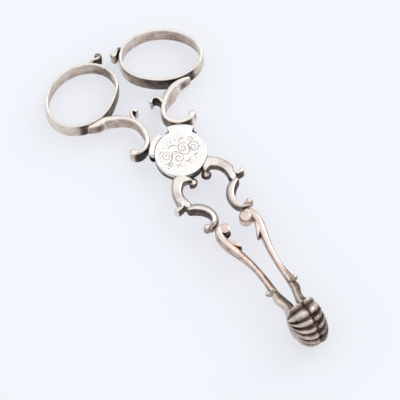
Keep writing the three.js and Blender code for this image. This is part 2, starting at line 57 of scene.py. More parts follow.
def throughPoints(points, t, evenly=False):
    # Smooth line through points: a cubic between each two points whose end slopes come from the
    # neighbours, spaced by the square root of the distances, or evenly for shares
    points = np.asarray(points, float)
    padded = np.vstack([2 * points[0] - points[1], points, 2 * points[-1] - points[-2]])
    place = np.clip(t, 0, 1) * (len(points) - 1)
    i = np.minimum(place.astype(int), len(points) - 2)
    w = (place - i)[:, None]
    p0, p1, p2, p3 = (padded[i + k] for k in range(4))
    if evenly:
        slopeA, slopeB = 0.5 * (p2 - p0), 0.5 * (p3 - p1)
    else:
        d0, d1, d2 = (np.sqrt(np.linalg.norm(step, axis=1))[:, None] for step in (p1 - p0, p2 - p1, p3 - p2))
        slopeA = ((p1 - p0) / d0 - (p2 - p0) / (d0 + d1) + (p2 - p1) / d1) * d1
        slopeB = ((p2 - p1) / d1 - (p3 - p1) / (d1 + d2) + (p3 - p2) / d2) * d1
    return (p1 + slopeA * w + (-3 * p1 + 3 * p2 - 2 * slopeA - slopeB) * w ** 2
            + (2 * p1 - 2 * p2 + slopeA + slopeB) * w ** 3)


def ease(low, high, x):
    # 0 below low, 1 above high, and 3x^2 - 2x^3 between
    w = np.clip((x - low) / (high - low), 0, 1)
    return w * w * (3 - 2 * w)


def bell(x, centre, width):
    # 1 at the centre, fading as e to the minus square
    return np.exp(-((x - centre) / width) ** 2)


def spots(x, rows):
    # Sum of bell curves, each row an amount, a place and a width
    return sum(amount * bell(x, place, width) for amount, place, width in rows)


def wander(x, seed, waves=4):
    # Slow unevenness from handwork: sines of whole periods over 0 to 1, phases from the seed
    phases = np.random.default_rng(seed).random(waves)
    return sum(np.sin(2 * np.pi * (k * x + phases[k - 1])) / k for k in range(1, waves + 1)) / 2


def heading(angle):
    # Unit vector: the cosine and sine of an angle in degrees
    return np.array([math.cos(math.radians(angle)), math.sin(math.radians(angle))])


def squarer(x, power):
    # A circle's sine or cosine made a superellipse's: its size to the power of 2 / power
    return np.sign(x) * np.abs(x) ** (2 / power)


def routePoints(size, start):
    # A route's shares times the piece's span, from its start
    return np.asarray(size["route"], float) * [size["across"], size["along"]] + np.asarray(start, float)


def evenSteps(points, count):
    # Parameter values that lie evenly along the line: length summed over a fine row, then inverted
    t = np.linspace(0, 1, 600)
    row = throughPoints(points, t)
    length = np.concatenate([[0], np.cumsum(np.linalg.norm(np.diff(row, axis=0), axis=1))])
    return np.interp(np.linspace(0, length[-1], count), length, t)


def onRoute(points, step):
    # Point of a route at a step counted in its points, and its left-hand direction there
    t = np.array([step / (len(points) - 1)])
    ahead = (throughPoints(points, t + tiny) - throughPoints(points, t - tiny))[0]
    ahead /= np.linalg.norm(ahead)
    return throughPoints(points, t)[0], np.array([-ahead[1], ahead[0]])


def sweep(size, points, along=90, around=32, sculpt=None, capSteps=7):
    # A superellipse section carried along a flat line: u across by half the width, v up and down
    # by half the height; each end is closed by a quarter circle in plan; sculpt changes u and v
    steps = evenSteps(points, along)
    caps = np.radians(np.linspace(84, 10, capSteps))
    t = np.concatenate([np.full(capSteps, steps[0]), steps, np.full(capSteps, steps[-1])])
    past = np.concatenate([-np.sin(caps), np.zeros(len(steps)), np.sin(caps[::-1])])
    scale = np.concatenate([np.cos(caps), np.ones(len(steps)), np.cos(caps[::-1])])
    centre = throughPoints(points, t)
    ahead = throughPoints(points, np.minimum(t + tiny, 1)) - throughPoints(points, np.maximum(t - tiny, 0))
    ahead /= np.linalg.norm(ahead, axis=1)[:, None]
    shares = throughPoints(np.column_stack([size["widths"], size["heights"]]), t, evenly=True)
    halfWidth, halfHeight = size["halfWidth"] * shares[:, 0], size["halfHeight"] * shares[:, 1]
    angle = -(np.arange(around) + 0.5) / around * 2 * np.pi
    u, v = (np.repeat(squarer(w, size["power"])[None], len(t), 0) for w in (np.cos(angle), np.sin(angle)))
    t = np.repeat(t[:, None], around, 1)
    movedU, movedV = sculpt(t, u, v) if sculpt else (u, v)
    centre = centre + ahead * (past * halfWidth)[:, None]
    across = movedU * (halfWidth * scale)[:, None]
    rings = np.stack([centre[:, 0:1] - ahead[:, 1:2] * across, centre[:, 1:2] + ahead[:, 0:1] * across,
                      movedV * (halfHeight * (1 + scale) / 2)[:, None]], -1)
    return rings, t, u, v


def lathe(centre, radii, heights, around=40):
    # A profile of radii and heights turned round an upright line through the centre
    angle = np.arange(around) / around * 2 * np.pi
    r = np.asarray(radii, float)[:, None]
    z = np.repeat(np.asarray(heights, float)[:, None], around, 1)
    return np.stack([centre[0] + r * np.cos(angle), centre[1] + r * np.sin(angle), z], -1)


def closedSurface(rings, tarnish, isLoop=False):
    # Quads between each ring and the next, with a fan to a middle point at each open end; where
    # the signed volume is below zero, the faces are turned to point outwards
    count, around = rings.shape[:2]
    points = rings.reshape(-1, 3)
    values = np.broadcast_to(tarnish, (count, around)).reshape(-1)
    i = np.arange(count if isLoop else count - 1)[:, None]
    j = np.arange(around)[None, :]
    a, b, k = i * around, ((i + 1) % count) * around, (j + 1) % around
    quads = np.stack([a + j, b + j, b + k, a + k], -1).reshape(-1, 4)
    fans = np.empty((0, 3), int)
    if not isLoop:
        points = np.vstack([points, rings[0].mean(0), rings[-1].mean(0)])
        values = np.concatenate([values, [values[:around].mean(), values[-around:].mean()]])
        first, end = count * around, (count - 1) * around
        j, k = np.arange(around), (np.arange(around) + 1) % around
        fans = np.vstack([np.stack([np.full(around, first), j, k], -1),
                          np.stack([np.full(around, first + 1), end + k, end + j], -1)])
    corners = points[np.vstack([quads[:, [0, 1, 2]], quads[:, [0, 2, 3]], fans])]
    if np.einsum("ij,ij->i", corners[:, 0], np.cross(corners[:, 1], corners[:, 2])).sum() < 0:
        quads, fans = quads[:, ::-1], fans[:, ::-1]
    return points, quads, fans, values


def settle(surface, isTurned, leansBy=0):
    # A surface drawn beside the middle plane is shifted by the lean, turned half round the long
    # axis for the other half, and lifted so that the hinge's back lies at zero
    points, quads, fans, values = surface
    past = np.maximum(0, -points[:, 1] - lean["start"]) / lean["span"]
    x = points[:, 0] - leansBy * lean["shift"] * past ** 2
    z = points[:, 2]
    if isTurned:
        x, z = -x, -z
    return np.column_stack([x, points[:, 1], z + hingeTop]), quads, fans, values


def inScene(name, data):
    # A new object, linked to the scene
    thing = bpy.data.objects.new(name, data)
    bpy.context.scene.collection.objects.link(thing)
    return thing


def makePiece(name, *surfaces):
    # All surfaces become one smooth mesh, with each point's tarnish and painted shading kept as an attribute
    starts = np.cumsum([0] + [len(surface[0]) for surface in surfaces])
    points = np.vstack([surface[0] for surface in surfaces]) * mm
    quads, fans = (np.vstack([surface[k] + start for surface, start in zip(surfaces, starts)])
                   for k in (1, 2))
    sizes = np.concatenate([np.full(len(quads), 4), np.full(len(fans), 3)])
    mesh = bpy.data.meshes.new(name)
    mesh.vertices.add(len(points))
    mesh.vertices.foreach_set("co", points.ravel())
    mesh.loops.add(len(quads) * 4 + len(fans) * 3)
    mesh.loops.foreach_set("vertex_index", np.concatenate([quads.ravel(), fans.ravel()]))
    mesh.polygons.add(len(sizes))
    mesh.polygons.foreach_set("loop_start", np.concatenate([[0], np.cumsum(sizes)[:-1]]))
    mesh.update(calc_edges=True)
    mesh.shade_smooth()
    layer = mesh.attributes.new("tarnish", "FLOAT", "POINT")
    layer.data.foreach_set("value", np.concatenate([surface[3] for surface in surfaces]).astype(np.float32))
    slot = slotOf[name.split("_", 1)[1]]
    mesh.materials.append(silver[slot])
    piece = inScene(name + "_silver", mesh)
    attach(piece, "back_half" if name.startswith("back") else "front_half")
    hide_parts(name)


def linear(colour):
    # sRGB hex to linear: below 0.04045 divided by 12.92, above it a power of 2.4
    parts = [int(colour[i:i + 2], 16) / 255 for i in (1, 3, 5)]
    return [p / 12.92 if p <= 0.04045 else ((p + 0.055) / 1.055) ** 2.4 for p in parts] + [1]


def emptyTree(owner):
    # The node tree of a material or of the world, switched on and cleared
    owner.use_nodes = True
    owner.node_tree.nodes.clear()
    return owner.node_tree


def addNode(tree, kind, settings=None, **inputs):
    # One node: settings are its own fields, inputs are values or (node, output) links; an input is
    # named by its name, with _ for a space, or by in and its number
    node = tree.nodes.new("ShaderNode" + kind)
    for key, value in (settings or {}).items():
        setattr(node, key, value)
    for key, value in inputs.items():
        isNumbered = key.startswith("in") and key[2:].isdigit()
        socket = node.inputs[int(key[2:]) if isNumbered else key.replace("_", " ")]
        if isinstance(value, tuple) and isinstance(value[0], bpy.types.Node):
            tree.links.new(value[0].outputs[value[1]], socket)
        else:
            socket.default_value = value
    return node


# Old cast silver: worn bright where it is handled, grey-brown sulphide tarnish on sides and in
# hollows, faint blotches a few millimetres wide, and fine scratches from polishing; the tarnish value
# also holds painted shade on side faces, in hollows and under parts, and painted highlights on
# knobs, ribs and tips
silverLooks = {
    "ring_band": dict(bright="#f3ece3", warm="#ccbbae", brown="#7b6e66", deep="#393333", rough=0.24),
    "cast_trim": dict(bright="#f1ebe1", warm="#c3b5a8", brown="#766559", deep="#352c28", rough=0.28),
    "handle_silver": dict(bright="#f6efe6", warm="#cbb9ac", brown="#7e695e", deep="#38302d", rough=0.26),
    "hinge_silver": dict(bright="#f8f5f0", warm="#cdc4ba", brown="#75695f", deep="#231e1b", rough=0.3),
    "arm_silver": dict(bright="#f4eee6", warm="#c9bbb0", brown="#77675d", deep="#382f2b", rough=0.27),
    "stem_silver": dict(bright="#f1e2d8", warm="#d0b8aa", brown="#806a5e", deep="#3d322d", rough=0.25),
    "shell_silver": dict(bright="#ece4d9", warm="#bba89c", brown="#6a5b54", deep="#3e3531", rough=0.3),
}
# Patterns, with their scale in cells a metre: blotches of 3.6 mm, specks of 0.5 mm, scratches 1.1 mm
# long and a ninth as wide, which is as fine as the picture shows, and a casting skin of 1.4 mm
patterns = dict(
    blotch=dict(Scale=280.0, Detail=4.0, Roughness=0.62),
    speck=dict(Scale=1900.0, Detail=3.0, Roughness=0.6),
    scratch=dict(Scale=900.0, Detail=2.0, Roughness=0.5),
    skin=dict(Scale=700.0, Detail=3.0, Roughness=0.55))
worn = dict(warmFrom=0.32, brownFrom=0.68, dullRough=0.52, scratchDepth=0.012, skinDepth=0.05)


def silverMaterial(slot, look):
    # Tarnish share = the piece's own attribute, tarnish with painted shade and highlights, plus
    # blotches; it sets colour and roughness, and scratches and casting skin are bumps
    material = bpy.data.materials.new("old_" + slot)
    tree = emptyTree(material)
    place = addNode(tree, "TexCoord")
    tarnishShadingNode = addNode(tree, "Attribute", {"attribute_name": "tarnish"})
    blotch = addNode(tree, "TexNoise", Vector=(place, "Object"), **patterns["blotch"])
    speck = addNode(tree, "TexNoise", Vector=(place, "Object"), **patterns["speck"])
    blotchy = addNode(tree, "MapRange", Value=(blotch, "Fac"), in1=0.3, in2=0.72, in3=-0.2, in4=0.2)
    specked = addNode(tree, "MapRange", Value=(speck, "Fac"), in1=0.3, in2=0.7, in3=-0.1, in4=0.1)
    uneven = addNode(tree, "Math", {"operation": "ADD"}, in0=(blotchy, 0), in1=(specked, 0))
    # blotches follow the attribute's tarnish and painted shade: hardly any on bright metal
    weight = addNode(tree, "MapRange", Value=(tarnishShadingNode, "Fac"), in1=0.0, in2=0.35, in3=0.25, in4=1.0)
    share = addNode(tree, "Math", {"operation": "MULTIPLY_ADD", "use_clamp": True},
                    in0=(uneven, 0), in1=(weight, 0), in2=(tarnishShadingNode, "Fac"))
    ramp = addNode(tree, "ValToRGB", Fac=(share, 0))
    stops = ramp.color_ramp.elements
    stops[0].position, stops[0].color = 0.0, linear(look["bright"])
    stops[1].position, stops[1].color = 1.0, linear(look["deep"])
    for key in ("warm", "brown"):
        stops.new(worn[key + "From"]).color = linear(look[key])
    rough = addNode(tree, "MapRange", Value=(share, 0), in1=0.0, in2=0.8, in3=look["rough"],
                    in4=worn["dullRough"])
    turned = addNode(tree, "Mapping", Vector=(place, "Object"), Rotation=(0.0, 0.0, 0.7),
                     Scale=(1.0, 9.0, 1.0))
    scratch = addNode(tree, "TexNoise", Vector=(turned, 0), **patterns["scratch"])
    scratched = addNode(tree, "Bump", Strength=0.35, Distance=worn["scratchDepth"] * mm,
                        Height=(scratch, "Fac"))
    cast = addNode(tree, "TexNoise", Vector=(place, "Object"), **patterns["skin"])
    skin = addNode(tree, "Bump", Strength=0.5, Distance=worn["skinDepth"] * mm, Height=(cast, "Fac"),
                   Normal=(scratched, 0))
    shader = addNode(tree, "BsdfPrincipled", Base_Color=(ramp, "Color"), Metallic=1.0, Roughness=(rough, 0),
                     Normal=(skin, 0))
    addNode(tree, "OutputMaterial", Surface=(shader, 0))
    return material


silver = {slot: silverMaterial(slot, look) for slot, look in silverLooks.items()}
print("materials ready")

# Finger rings: flat inside, domed outside, pressed in a little where the handle scroll is soldered on.
# Pressed places, the painted shade on the outer face and darker spots inside are rows of amount, angle from
# -270 to 90, and width
band = dict(
    halfHeight=2.98, rim=0.7, dome=0.3, flatAngle=34, cornerHeight=0.55, cornerDome=0.75, edgeRound=0.2,
    unevenness=0.06, thinning=0.015, wall=0.65, columns=320, rimFilm=0.05, insideFilm=0.16, lowFilm=0.16,
    outsideShade=0.1)
frontRing = dict(
    longRadius=12.1, shortRadius=8.75, tilt=-34, centre=(13.31, 30.07), seatFlat=0.6, restAngle=8,
    spurAngle=123, pressed=[(0.45, -138, 20)], outsideShadeSpots=[(0.66, -126, 42), (0.6, -85, 6)],
    insideSpots=[(0.12, 125, 38), (0.24, 40, 24)])
backRing = dict(
    longRadius=11.5, shortRadius=9.5, tilt=-10, centre=(13.13, 32.69), seatFlat=0.2, restAngle=1,
    spurAngle=128, pressed=[(0.55, -128, 20)], outsideShadeSpots=[(0.62, -118, 44), (0.6, -69, 6)],
    insideSpots=[(0.34, -205, 38)])


def ovalReach(ring, direction):
    # Point of the oval farthest along a direction
    c, s = heading(ring["tilt"])
    along, across = direction[0] * c + direction[1] * s, -direction[0] * s + direction[1] * c
    length = math.hypot(ring["longRadius"] * along, ring["shortRadius"] * across)
    a, b = ring["longRadius"] ** 2 * along / length, ring["shortRadius"] ** 2 * across / length
    return np.array([a * c - b * s, a * s + b * c])


def roundedOutline(corners, radius, arcSteps=4):
    # Each corner becomes a short curve that starts and ends one radius from it, and three points
    # keep each side flat
    def towards(start, end):
        # Point one radius from the start, but at most 0.45 of the way
        return start + (end - start) * min(0.45, radius / np.linalg.norm(end - start))

    corners = np.asarray(corners, float)
    out = []
    w = np.linspace(0, 1, arcSteps)[:, None]
    for before, corner, after in zip(np.roll(corners, 1, 0), corners, np.roll(corners, -1, 0)):
        a, b, c = towards(corner, before), towards(corner, after), towards(after, corner)
        out.append((1 - w) ** 2 * a + 2 * w * (1 - w) * corner + w ** 2 * b)
        out.append(b + (c - b) * np.array([[0.1], [0.5], [0.9]]))
    return np.vstack(out)


def fingerRing(ring, isTurned, seed):
    # The band's section carried round an oval, pushed in by bell curves where the scroll carries it
    restX, restY = heading(-90 - ring["restAngle"])
    half, high = band["rim"] / 2, band["halfHeight"]
    cornerZ, cornerX = high * band["cornerHeight"], half + band["dome"] * band["cornerDome"]
    section = roundedOutline([[-half, -high], [half, -high], [cornerX, -cornerZ], [half + band["dome"], 0],
                              [cornerX, cornerZ], [half, high], [-half, high]], band["edgeRound"])
    share = np.arange(band["columns"]) / band["columns"]
    angle = share * 2 * np.pi
    a, b = ring["longRadius"] * np.cos(angle), ring["shortRadius"] * np.sin(angle)
    out = np.column_stack([a / ring["longRadius"] ** 2, b / ring["shortRadius"] ** 2])
    out /= np.linalg.norm(out, axis=1)[:, None]
    c, s = heading(ring["tilt"])
    outX, outY = out[:, 0] * c - out[:, 1] * s, out[:, 0] * s + out[:, 1] * c
    away = np.degrees(np.arccos(np.clip(outX * restX + outY * restY, -1, 1)))
    turn = np.degrees(np.arctan2(outY, outX))
    turn = np.where(turn > 90, turn - 360, turn)                 # one run from -270 to 90
    dent = (ring["seatFlat"] * bell(away, 0, band["flatAngle"]) + spots(turn, ring["pressed"])
            + band["unevenness"] * (wander(share, seed) + 1))
    u, z = section[:, 0][None], section[:, 1][None]
    thin = 1 - band["thinning"] * (1 + wander(share, seed + 1))[:, None]
    x = a[:, None] + out[:, 0:1] * (u * thin - dent[:, None])
    y = b[:, None] + out[:, 1:2] * (u * thin - dent[:, None])
    rings = np.stack([ring["centre"][0] + x * c - y * s, ring["centre"][1] + x * s + y * c, z * thin], -1)
    upDown = np.abs(z) / high
    inside = ease(0, -0.2, u) * ease(1.0, 0.8, upDown)
    outside = ease(0.3, 0.36, u) * ease(1.0, 0.88, upDown)
    # inside, darker towards the bottom and in spots
    low = ease(0.5, -1, (-z if isTurned else z) / high)
    darkened = band["insideFilm"] + band["lowFilm"] * low + spots(turn, ring["insideSpots"])[:, None]
    # painted shade on the outer face, deepest over a broad stretch and beside the handle's leaf
    dullShade = band["outsideShade"] + spots(turn, ring["outsideShadeSpots"])[:, None]
    return closedSurface(rings, band["rimFilm"] + darkened * inside + dullShade * outside, isLoop=True)


# Handle scrolls with their thorns and ring spurs. Each strap or bar has a route in shares of its
# spans across and along the nips, and shares of its half width and half height at the route's points;
# outer, inner and ends are the tarnish and painted shade of its side faces and ends, and spots lie
# along it in rows of amount, place from 0 to 1, and width
handle = dict(
    halfWidth=0.7, halfHeight=2.7, power=5, sink=0.1, seat=(0.165, 0.065), bulgeWidth=2.4,
    route=[(1, 0.95), (0.82, 0.99), (0.63, 0.985), (0.46, 0.935), (0.3, 0.855), (0.165, 0.745),
        (0.06, 0.615), (0.008, 0.48), (0, 0.34), (0.03, 0.21), (0.11, 0.105), (0.22, 0.03), (0.35, 0),
        (0.46, 0.025), (0.525, 0.085)],
    widths=[0.72, 0.95, 1.3, 1.32, 1.18, 1.05, 1, 1, 1, 1, 1, 1, 1.02, 1.25, 1.62],
    heights=[0.84, 1, 1, 1, 1, 1, 1, 1, 1, 1, 1, 1, 1, 1, 0.96], outer=0.62, ends=0.1, ribHighlight=0.35,
    backFilm=0.06, knobTopHighlight=0.1, underKnob=0.35)
frontHandle = dict(
    handle, across=12.14, along=12.0, leafLift=0.2, seatAngle=34, thornStep=5.05, ridge=0.135, inner=0.2,
    dish=0.5, footFlare=1.3, tipBreadth=0.25, tipLift=0.05, bulge=0.85, knobHighlight=0.62, knobPitShade=1.1,
    bulgeStep=7.6, tipShift=0, leafBreadth=0.35)
backHandle = dict(
    handle, across=12.31, along=15.4, leafLift=1.1, seatAngle=41, thornStep=5.6, ridge=0.15, inner=0.38,
    dish=0.4, footFlare=0.2, tipBreadth=1.0, tipLift=0.3, bulge=0.6, knobSideShade=0.4, knobEndHighlight=0.5,
    bulgeStep=5.2, tipShift=0.3, leafBreadth=0.15)
# The leaf's relief: a rib that curves with the height, a lobe behind it, a hollow ahead of it
relief = dict(
    rib=0.42, ribWidth=0.013, ribCurve=0.014, lobe=0.5, lobeBehind=0.062, lobeWidth=0.036, hollow=0.16,
    hollowAhead=0.06, hollowWidth=0.04, top=0.45, slope=0.04, leafSlope=0.1, innerSlope=0.03, leafAt=0.2,
    leafWidth=0.13)
ringSpur = dict(
    along=2.1, halfWidth=0.45, halfHeight=2.7, power=4,
    route=[(0.12, -0.16), (0, 0), (-0.28, 0.12), (-0.58, 0.02), (-0.84, 0.04), (-0.94, 0.26), (-0.82, 0.5)],
    widths=[1.4, 1.2, 1, 1.1, 1.35, 1.75, 1.9], heights=[1, 1, 1, 0.95, 0.92, 0.9, 0.86], outer=0.85,
    inner=0.8, ends=0)
frontRingSpur = dict(ringSpur, across=2.7, droop=1.2, hook=-0.6, spots=[(0.75, 0.14, 0.16)])
backRingSpur = dict(ringSpur, across=3.3, droop=0, hook=0.45, spots=[(0.3, 0.1, 0.12)])
backThorn = dict(
    across=2.0, along=2.4, halfWidth=0.52, halfHeight=2.5, power=4,
    route=[(0.15, -0.35), (0.06, 0), (-0.02, 0.5), (-0.3, 0.92), (-0.68, 1), (-1, 0.74)],
    widths=[1.3, 1.2, 1, 0.9, 1.05, 1.25], heights=[1, 1, 1, 0.97, 0.93, 0.86], outer=0.16, inner=0.95,
    ends=0, tipHighlight=0.7)
frontThorn = dict(backThorn, across=2.6, halfHeight=2.7)


def sideWall(v):
    # 1 on the upright side faces, fading to 0 at the top and the underside
    return ease(0.98, 0.8, np.abs(v))


def sideTarnishAndShade(size, t, u, v, innerSign):
    # Tarnish and painted shade: bright on top, dull on the outer and the inner side face, and
    # duller where it is soldered
    face = sideWall(v) * ease(0.5, 0.9, np.abs(u))
    side = size["outer"] + (size["inner"] - size["outer"]) * ease(-0.1, 0.1, innerSign * u)
    ends = size["ends"] * (bell(t, 0, 0.04) + bell(t, 1, 0.04)) * (0.1 + 0.9 * face)
    return size.get("film", 0.04) + side * face + ends


def ridged(u, v, ridge, outer, inner):
    # The top falls from a ridge line to both edges: by these shares of the height at the edges
    fall = np.where(u < ridge, outer * (np.maximum(0, ridge - u) / (1 + ridge)) ** 1.3,
                    inner * (np.maximum(0, u - ridge) / (1 - ridge)) ** 1.3)
    return v * (1 - fall)


def handleSide(prefix, ring, size, spurSize, thornSize, isTurned, seed):
    # The scroll starts on the shoulder's outer face; its back carries the thorn, and the ring
    # rests on its leaf
    reach = shoulderRadius + solderGap + size["halfWidth"]
    c, s = heading(size["seatAngle"])
    start = (reach * s - size["seat"][0] * size["across"], reach * c - size["seat"][1] * size["along"])
    points = routePoints(size, start)
    points[0, 1] += size["leafLift"]
    points[:3, 1] += size["tipShift"]
    points[:, 0] -= size["bulge"] * bell(np.arange(len(points)), size["bulgeStep"], size["bulgeWidth"])
    lobeAt = size["ridge"] - relief["lobeBehind"]

    def ribBell(t, v):
        # Bell curve across the rib, whose line shifts with the height
        return bell(t, size["ridge"] + relief["ribCurve"] * v, relief["ribWidth"])

    def leafRelief(t, u, v):
        # The leaf's inner face has a raised curved rib across it and a dished lobe at the tip; the
        # top slopes outwards, the more where the leaf is broad
        rib = (relief["rib"] * ribBell(t, v)
               - relief["lobe"] * bell(t, lobeAt, relief["lobeWidth"]) * (1 - v ** 2)
               - relief["hollow"] * bell(t, size["ridge"] + relief["hollowAhead"], relief["hollowWidth"]))
        inward = ease(0, 0.7, u) * ease(1.0, 0.82, np.abs(v))
        leaf = bell(t, relief["leafAt"], relief["leafWidth"])
        flare = size["footFlare"] * bell(t, 0.25, 0.1) * ease(0.6, -1, -v if isTurned else v)
        broad = size["tipBreadth"] * bell(t, 0.08, 0.07)
        below = (v > 0 if isTurned else v < 0) * size["tipLift"] * ease(0.22, 0.1, t)
        top = ridged(u, v, relief["top"], relief["slope"] + relief["leafSlope"] * leaf, relief["innerSlope"])
        wider = (flare + broad) * (u > 0) + size["leafBreadth"] * leaf * (u < 0)
        return u * (1 + rib * inward + wider), top * (1 - below)

    rings, t, u, v = sweep(size, points, along=170, around=44, sculpt=leafRelief)
    inwards = ease(0.2, 0.8, u) * sideWall(v)
    outwards = ease(0, -0.5, u)
    # painted shade in the leaf's dish and a painted highlight along its raised rib
    dish = bell(t, lobeAt, 0.032) * bell(v, -0.1, 0.62)
    onLeaf = size["dish"] * dish - size["ribHighlight"] * ribBell(t, v)
    tarnish = sideTarnishAndShade(size, t, u, v, 1) + inwards * onLeaf
    tarnish += size["backFilm"] * ease(-0.2, -0.7, u) * bell(t, 0.22, 0.14)
    if prefix == "front":                      # painted highlight on the knob's outer side, and the painted shade of one pit
        tarnish -= size["knobHighlight"] * ease(0.87, 0.92, t) * outwards
        tarnish += size["knobPitShade"] * bell(t, 0.955, 0.018) * bell(u, -0.85, 0.3) * bell(v, 0.45, 0.4)
    else:                                      # painted shade on the knob's outer side, and a painted highlight on its end
        tarnish += size["knobSideShade"] * ease(0.8, 0.88, t) * outwards * ease(0.985, 0.9, t)
        tarnish -= size["knobEndHighlight"] * ease(0.93, 0.985, t)
    # painted highlight on the knob's top and underside, and painted shadow on the outer side under the knob
    tarnish -= size["knobTopHighlight"] * ease(0.9, 0.95, t) * ease(0.9, 1, np.abs(v))
    tarnish += size["underKnob"] * bell(t, 0.82, 0.05) * ease(-0.3, -0.8, u) * sideWall(v)
    made = {"handle_scroll": (rings, np.maximum(tarnish, 0.02))}

    outward = heading(ring["spurAngle"])
    spurStart = np.array(ring["centre"]) + ovalReach(ring, outward) + outward * (band["wall"] + solderGap)
    spurPoints = routePoints(spurSize, spurStart)
    spurPoints[:, 1] += np.array(spurSize["route"])[:, 0] * spurSize["droop"]
    rings, t, u, v = sweep(spurSize, spurPoints, along=60)
    # the hook is brighter on the front half, and darker to the very top on the back half
    tarnish = sideTarnishAndShade(spurSize, t, u, v, -1) + spots(t, spurSize["spots"])
    made["ring_spur"] = (rings, np.maximum(0.03, tarnish + spurSize["hook"] * ease(0.55, 0.8, t)))

    place, inward = onRoute(points, size["thornStep"])
    inward = inward if inward[0] < 0 else -inward
    thornStart = place + inward * (size["halfWidth"] + solderGap - size["sink"])
    rings, t, u, v = sweep(thornSize, routePoints(thornSize, thornStart), along=60)
    # painted highlight on the thorn's tip, and deep painted shade on its inner face
    tipHighlight = thornSize["tipHighlight"] * ease(0.96, 1, t) * sideWall(v)
    made["handle_thorn"] = (rings, sideTarnishAndShade(thornSize, t, u, v, 1) - tipHighlight)

    for name, surface in made.items():
        makePiece(f"{prefix}_{name}", settle(closedSurface(*surface), isTurned))
    makePiece(f"{prefix}_finger_ring", settle(fingerRing(ring, isTurned, seed), isTurned))


handleSide("front", frontRing, frontHandle, frontRingSpur, frontThorn, False, 3)
handleSide("back", backRing, backHandle, backRingSpur, backThorn, True, 8)
print("handles ready")

# Hinge plates: a flat round plate whose rim steps out to a full-height shoulder on its outer side
# edgeShade paints a dark reflection; the feet, footLine, endWall, betweenArms, lap, under, seat and headWall
# paint shade
plate = dict(
    edgeRound=0.13, shoulderEdge=1.3, shoulderReach=0.12, columns=540, engraveDepth=0.03, rivetHead=2.28,
    rivetBore=1.28, footSpread=5.2, lapGap=0.14, roundEnd=14, backReach=0.88, inset=0.01, middle=0.06,
    headSeat=0.68, headEdge=0.08, topFilm=0.01, edgeFilm=0.04, edgeShade=0.3, lineShade=0.75, frontFoot=0.5,
    backFoot=0.03, farFoot=0.6, footLine=0.8, endWall=1.5, endWidth=4.5, roundWidth=11, betweenArms=0.9,
    lap=0.85, under=0.6, seat=0.7, headWall=0.5)


def spiral(x, y, radius, turns, startAngle, hand):
    # Spiral line that winds inwards: the radius falls evenly with the angle
    s = np.linspace(0, 1, 70)
    angle = math.radians(startAngle) + hand * s * turns * 2 * np.pi
    r = radius * (1 - 0.86 * s)
    return np.column_stack([x + r * np.cos(angle), y + r * np.sin(angle)]), 0.075 + 0.06 * np.sin(np.pi * s)


def stroke(points, swell):
    # Leaf stroke of the graver: a smooth line that swells in its middle
    s = np.linspace(0, 1, 40)
    return throughPoints(points, s), 0.05 + swell * np.sin(np.pi * s)


# Engraved on the front plate: a running scroll of vine tendrils with small leaves and dots. Spirals
# are x, y, radius, turns, start angle and hand, and strokes are points and how much they swell
engraving = dict(
    spirals=[(-4.05, 1.35, 1.75, 1.7, -60, 1), (-1.35, -1.05, 1.85, 1.6, 120, -1),
        (1.45, 1.15, 1.9, 1.6, -55, 1), (4.35, -0.55, 1.75, 1.7, 125, -1), (-4.7, -1.6, 0.85, 1.4, 60, -1),
        (4.75, 2.45, 0.95, 1.4, -120, 1)],
    strokes=[([(-6.0, -0.4), (-4.9, -1.0), (-3.4, -0.3), (-2.5, 1.0), (-1.3, 1.5), (-0.2, 0.6)], 0.1),
        ([(-0.2, 0.6), (0.5, -0.8), (1.8, -1.4), (3.0, -0.5), (3.4, 0.9), (4.6, 1.4), (5.9, 0.7)], 0.1),
        ([(-2.6, 2.9), (-1.6, 3.6), (-0.4, 3.4), (0.4, 2.5)], 0.12),
        ([(1.4, 3.3), (2.4, 4.0), (3.6, 3.7)], 0.11), ([(-0.6, -3.0), (0.5, -3.5), (1.7, -3.0)], 0.12),
        ([(2.6, -2.6), (3.6, -3.0), (4.4, -2.6)], 0.1), ([(-3.6, -2.7), (-2.7, -3.2), (-1.8, -2.9)], 0.1),
        ([(-5.6, 2.9), (-4.9, 3.5), (-4.0, 3.4)], 0.08)],
    dots=[(-2.2, -3.9), (-1.1, -4.3), (0.5, -4.4), (-3.4, -3.7), (2.9, -3.9), (-3.2, 4.2), (-1.9, 4.5),
        (-0.5, 4.6), (1.0, 4.7), (5.6, 1.9), (6.2, 0.1), (5.9, -1.4), (-6.1, 0.9), (-5.9, 1.9),
        (-5.9, -2.2), (2.9, 2.6)],
    dotRadius=0.17, lineReach=0.4)


def engraved(x, y):
    # How deep the graver went: 1 on a line's middle, fading over its half width
    depth = np.zeros(x.shape)
    lines = [spiral(*row) for row in engraving["spirals"]] + [stroke(*row) for row in engraving["strokes"]]
    place = np.column_stack([x.ravel(), y.ravel()])
    for points, halfWidth in lines:
        a, b = points[:-1], points[1:]
        near = np.zeros(len(place))
        low, high = points.min(0) - engraving["lineReach"], points.max(0) + engraving["lineReach"]
        box = ((place > low) & (place < high)).all(1)
        inside = place[box][:, None]
        share = np.clip(((inside - a) * (b - a)).sum(-1) / ((b - a) ** 2).sum(-1), 0, 1)
        gap = np.linalg.norm(inside - a - share[..., None] * (b - a), axis=-1)
        near[box] = (1.15 - gap / halfWidth[:-1]).max(1)
        depth = np.maximum(depth, np.clip(near, 0, 1).reshape(x.shape))
    for dotX, dotY in engraving["dots"]:
        gap = np.hypot(x - dotX, y - dotY) / engraving["dotRadius"]
        depth = np.maximum(depth, np.clip(1.5 - gap * 1.2, 0, 1))
    return depth


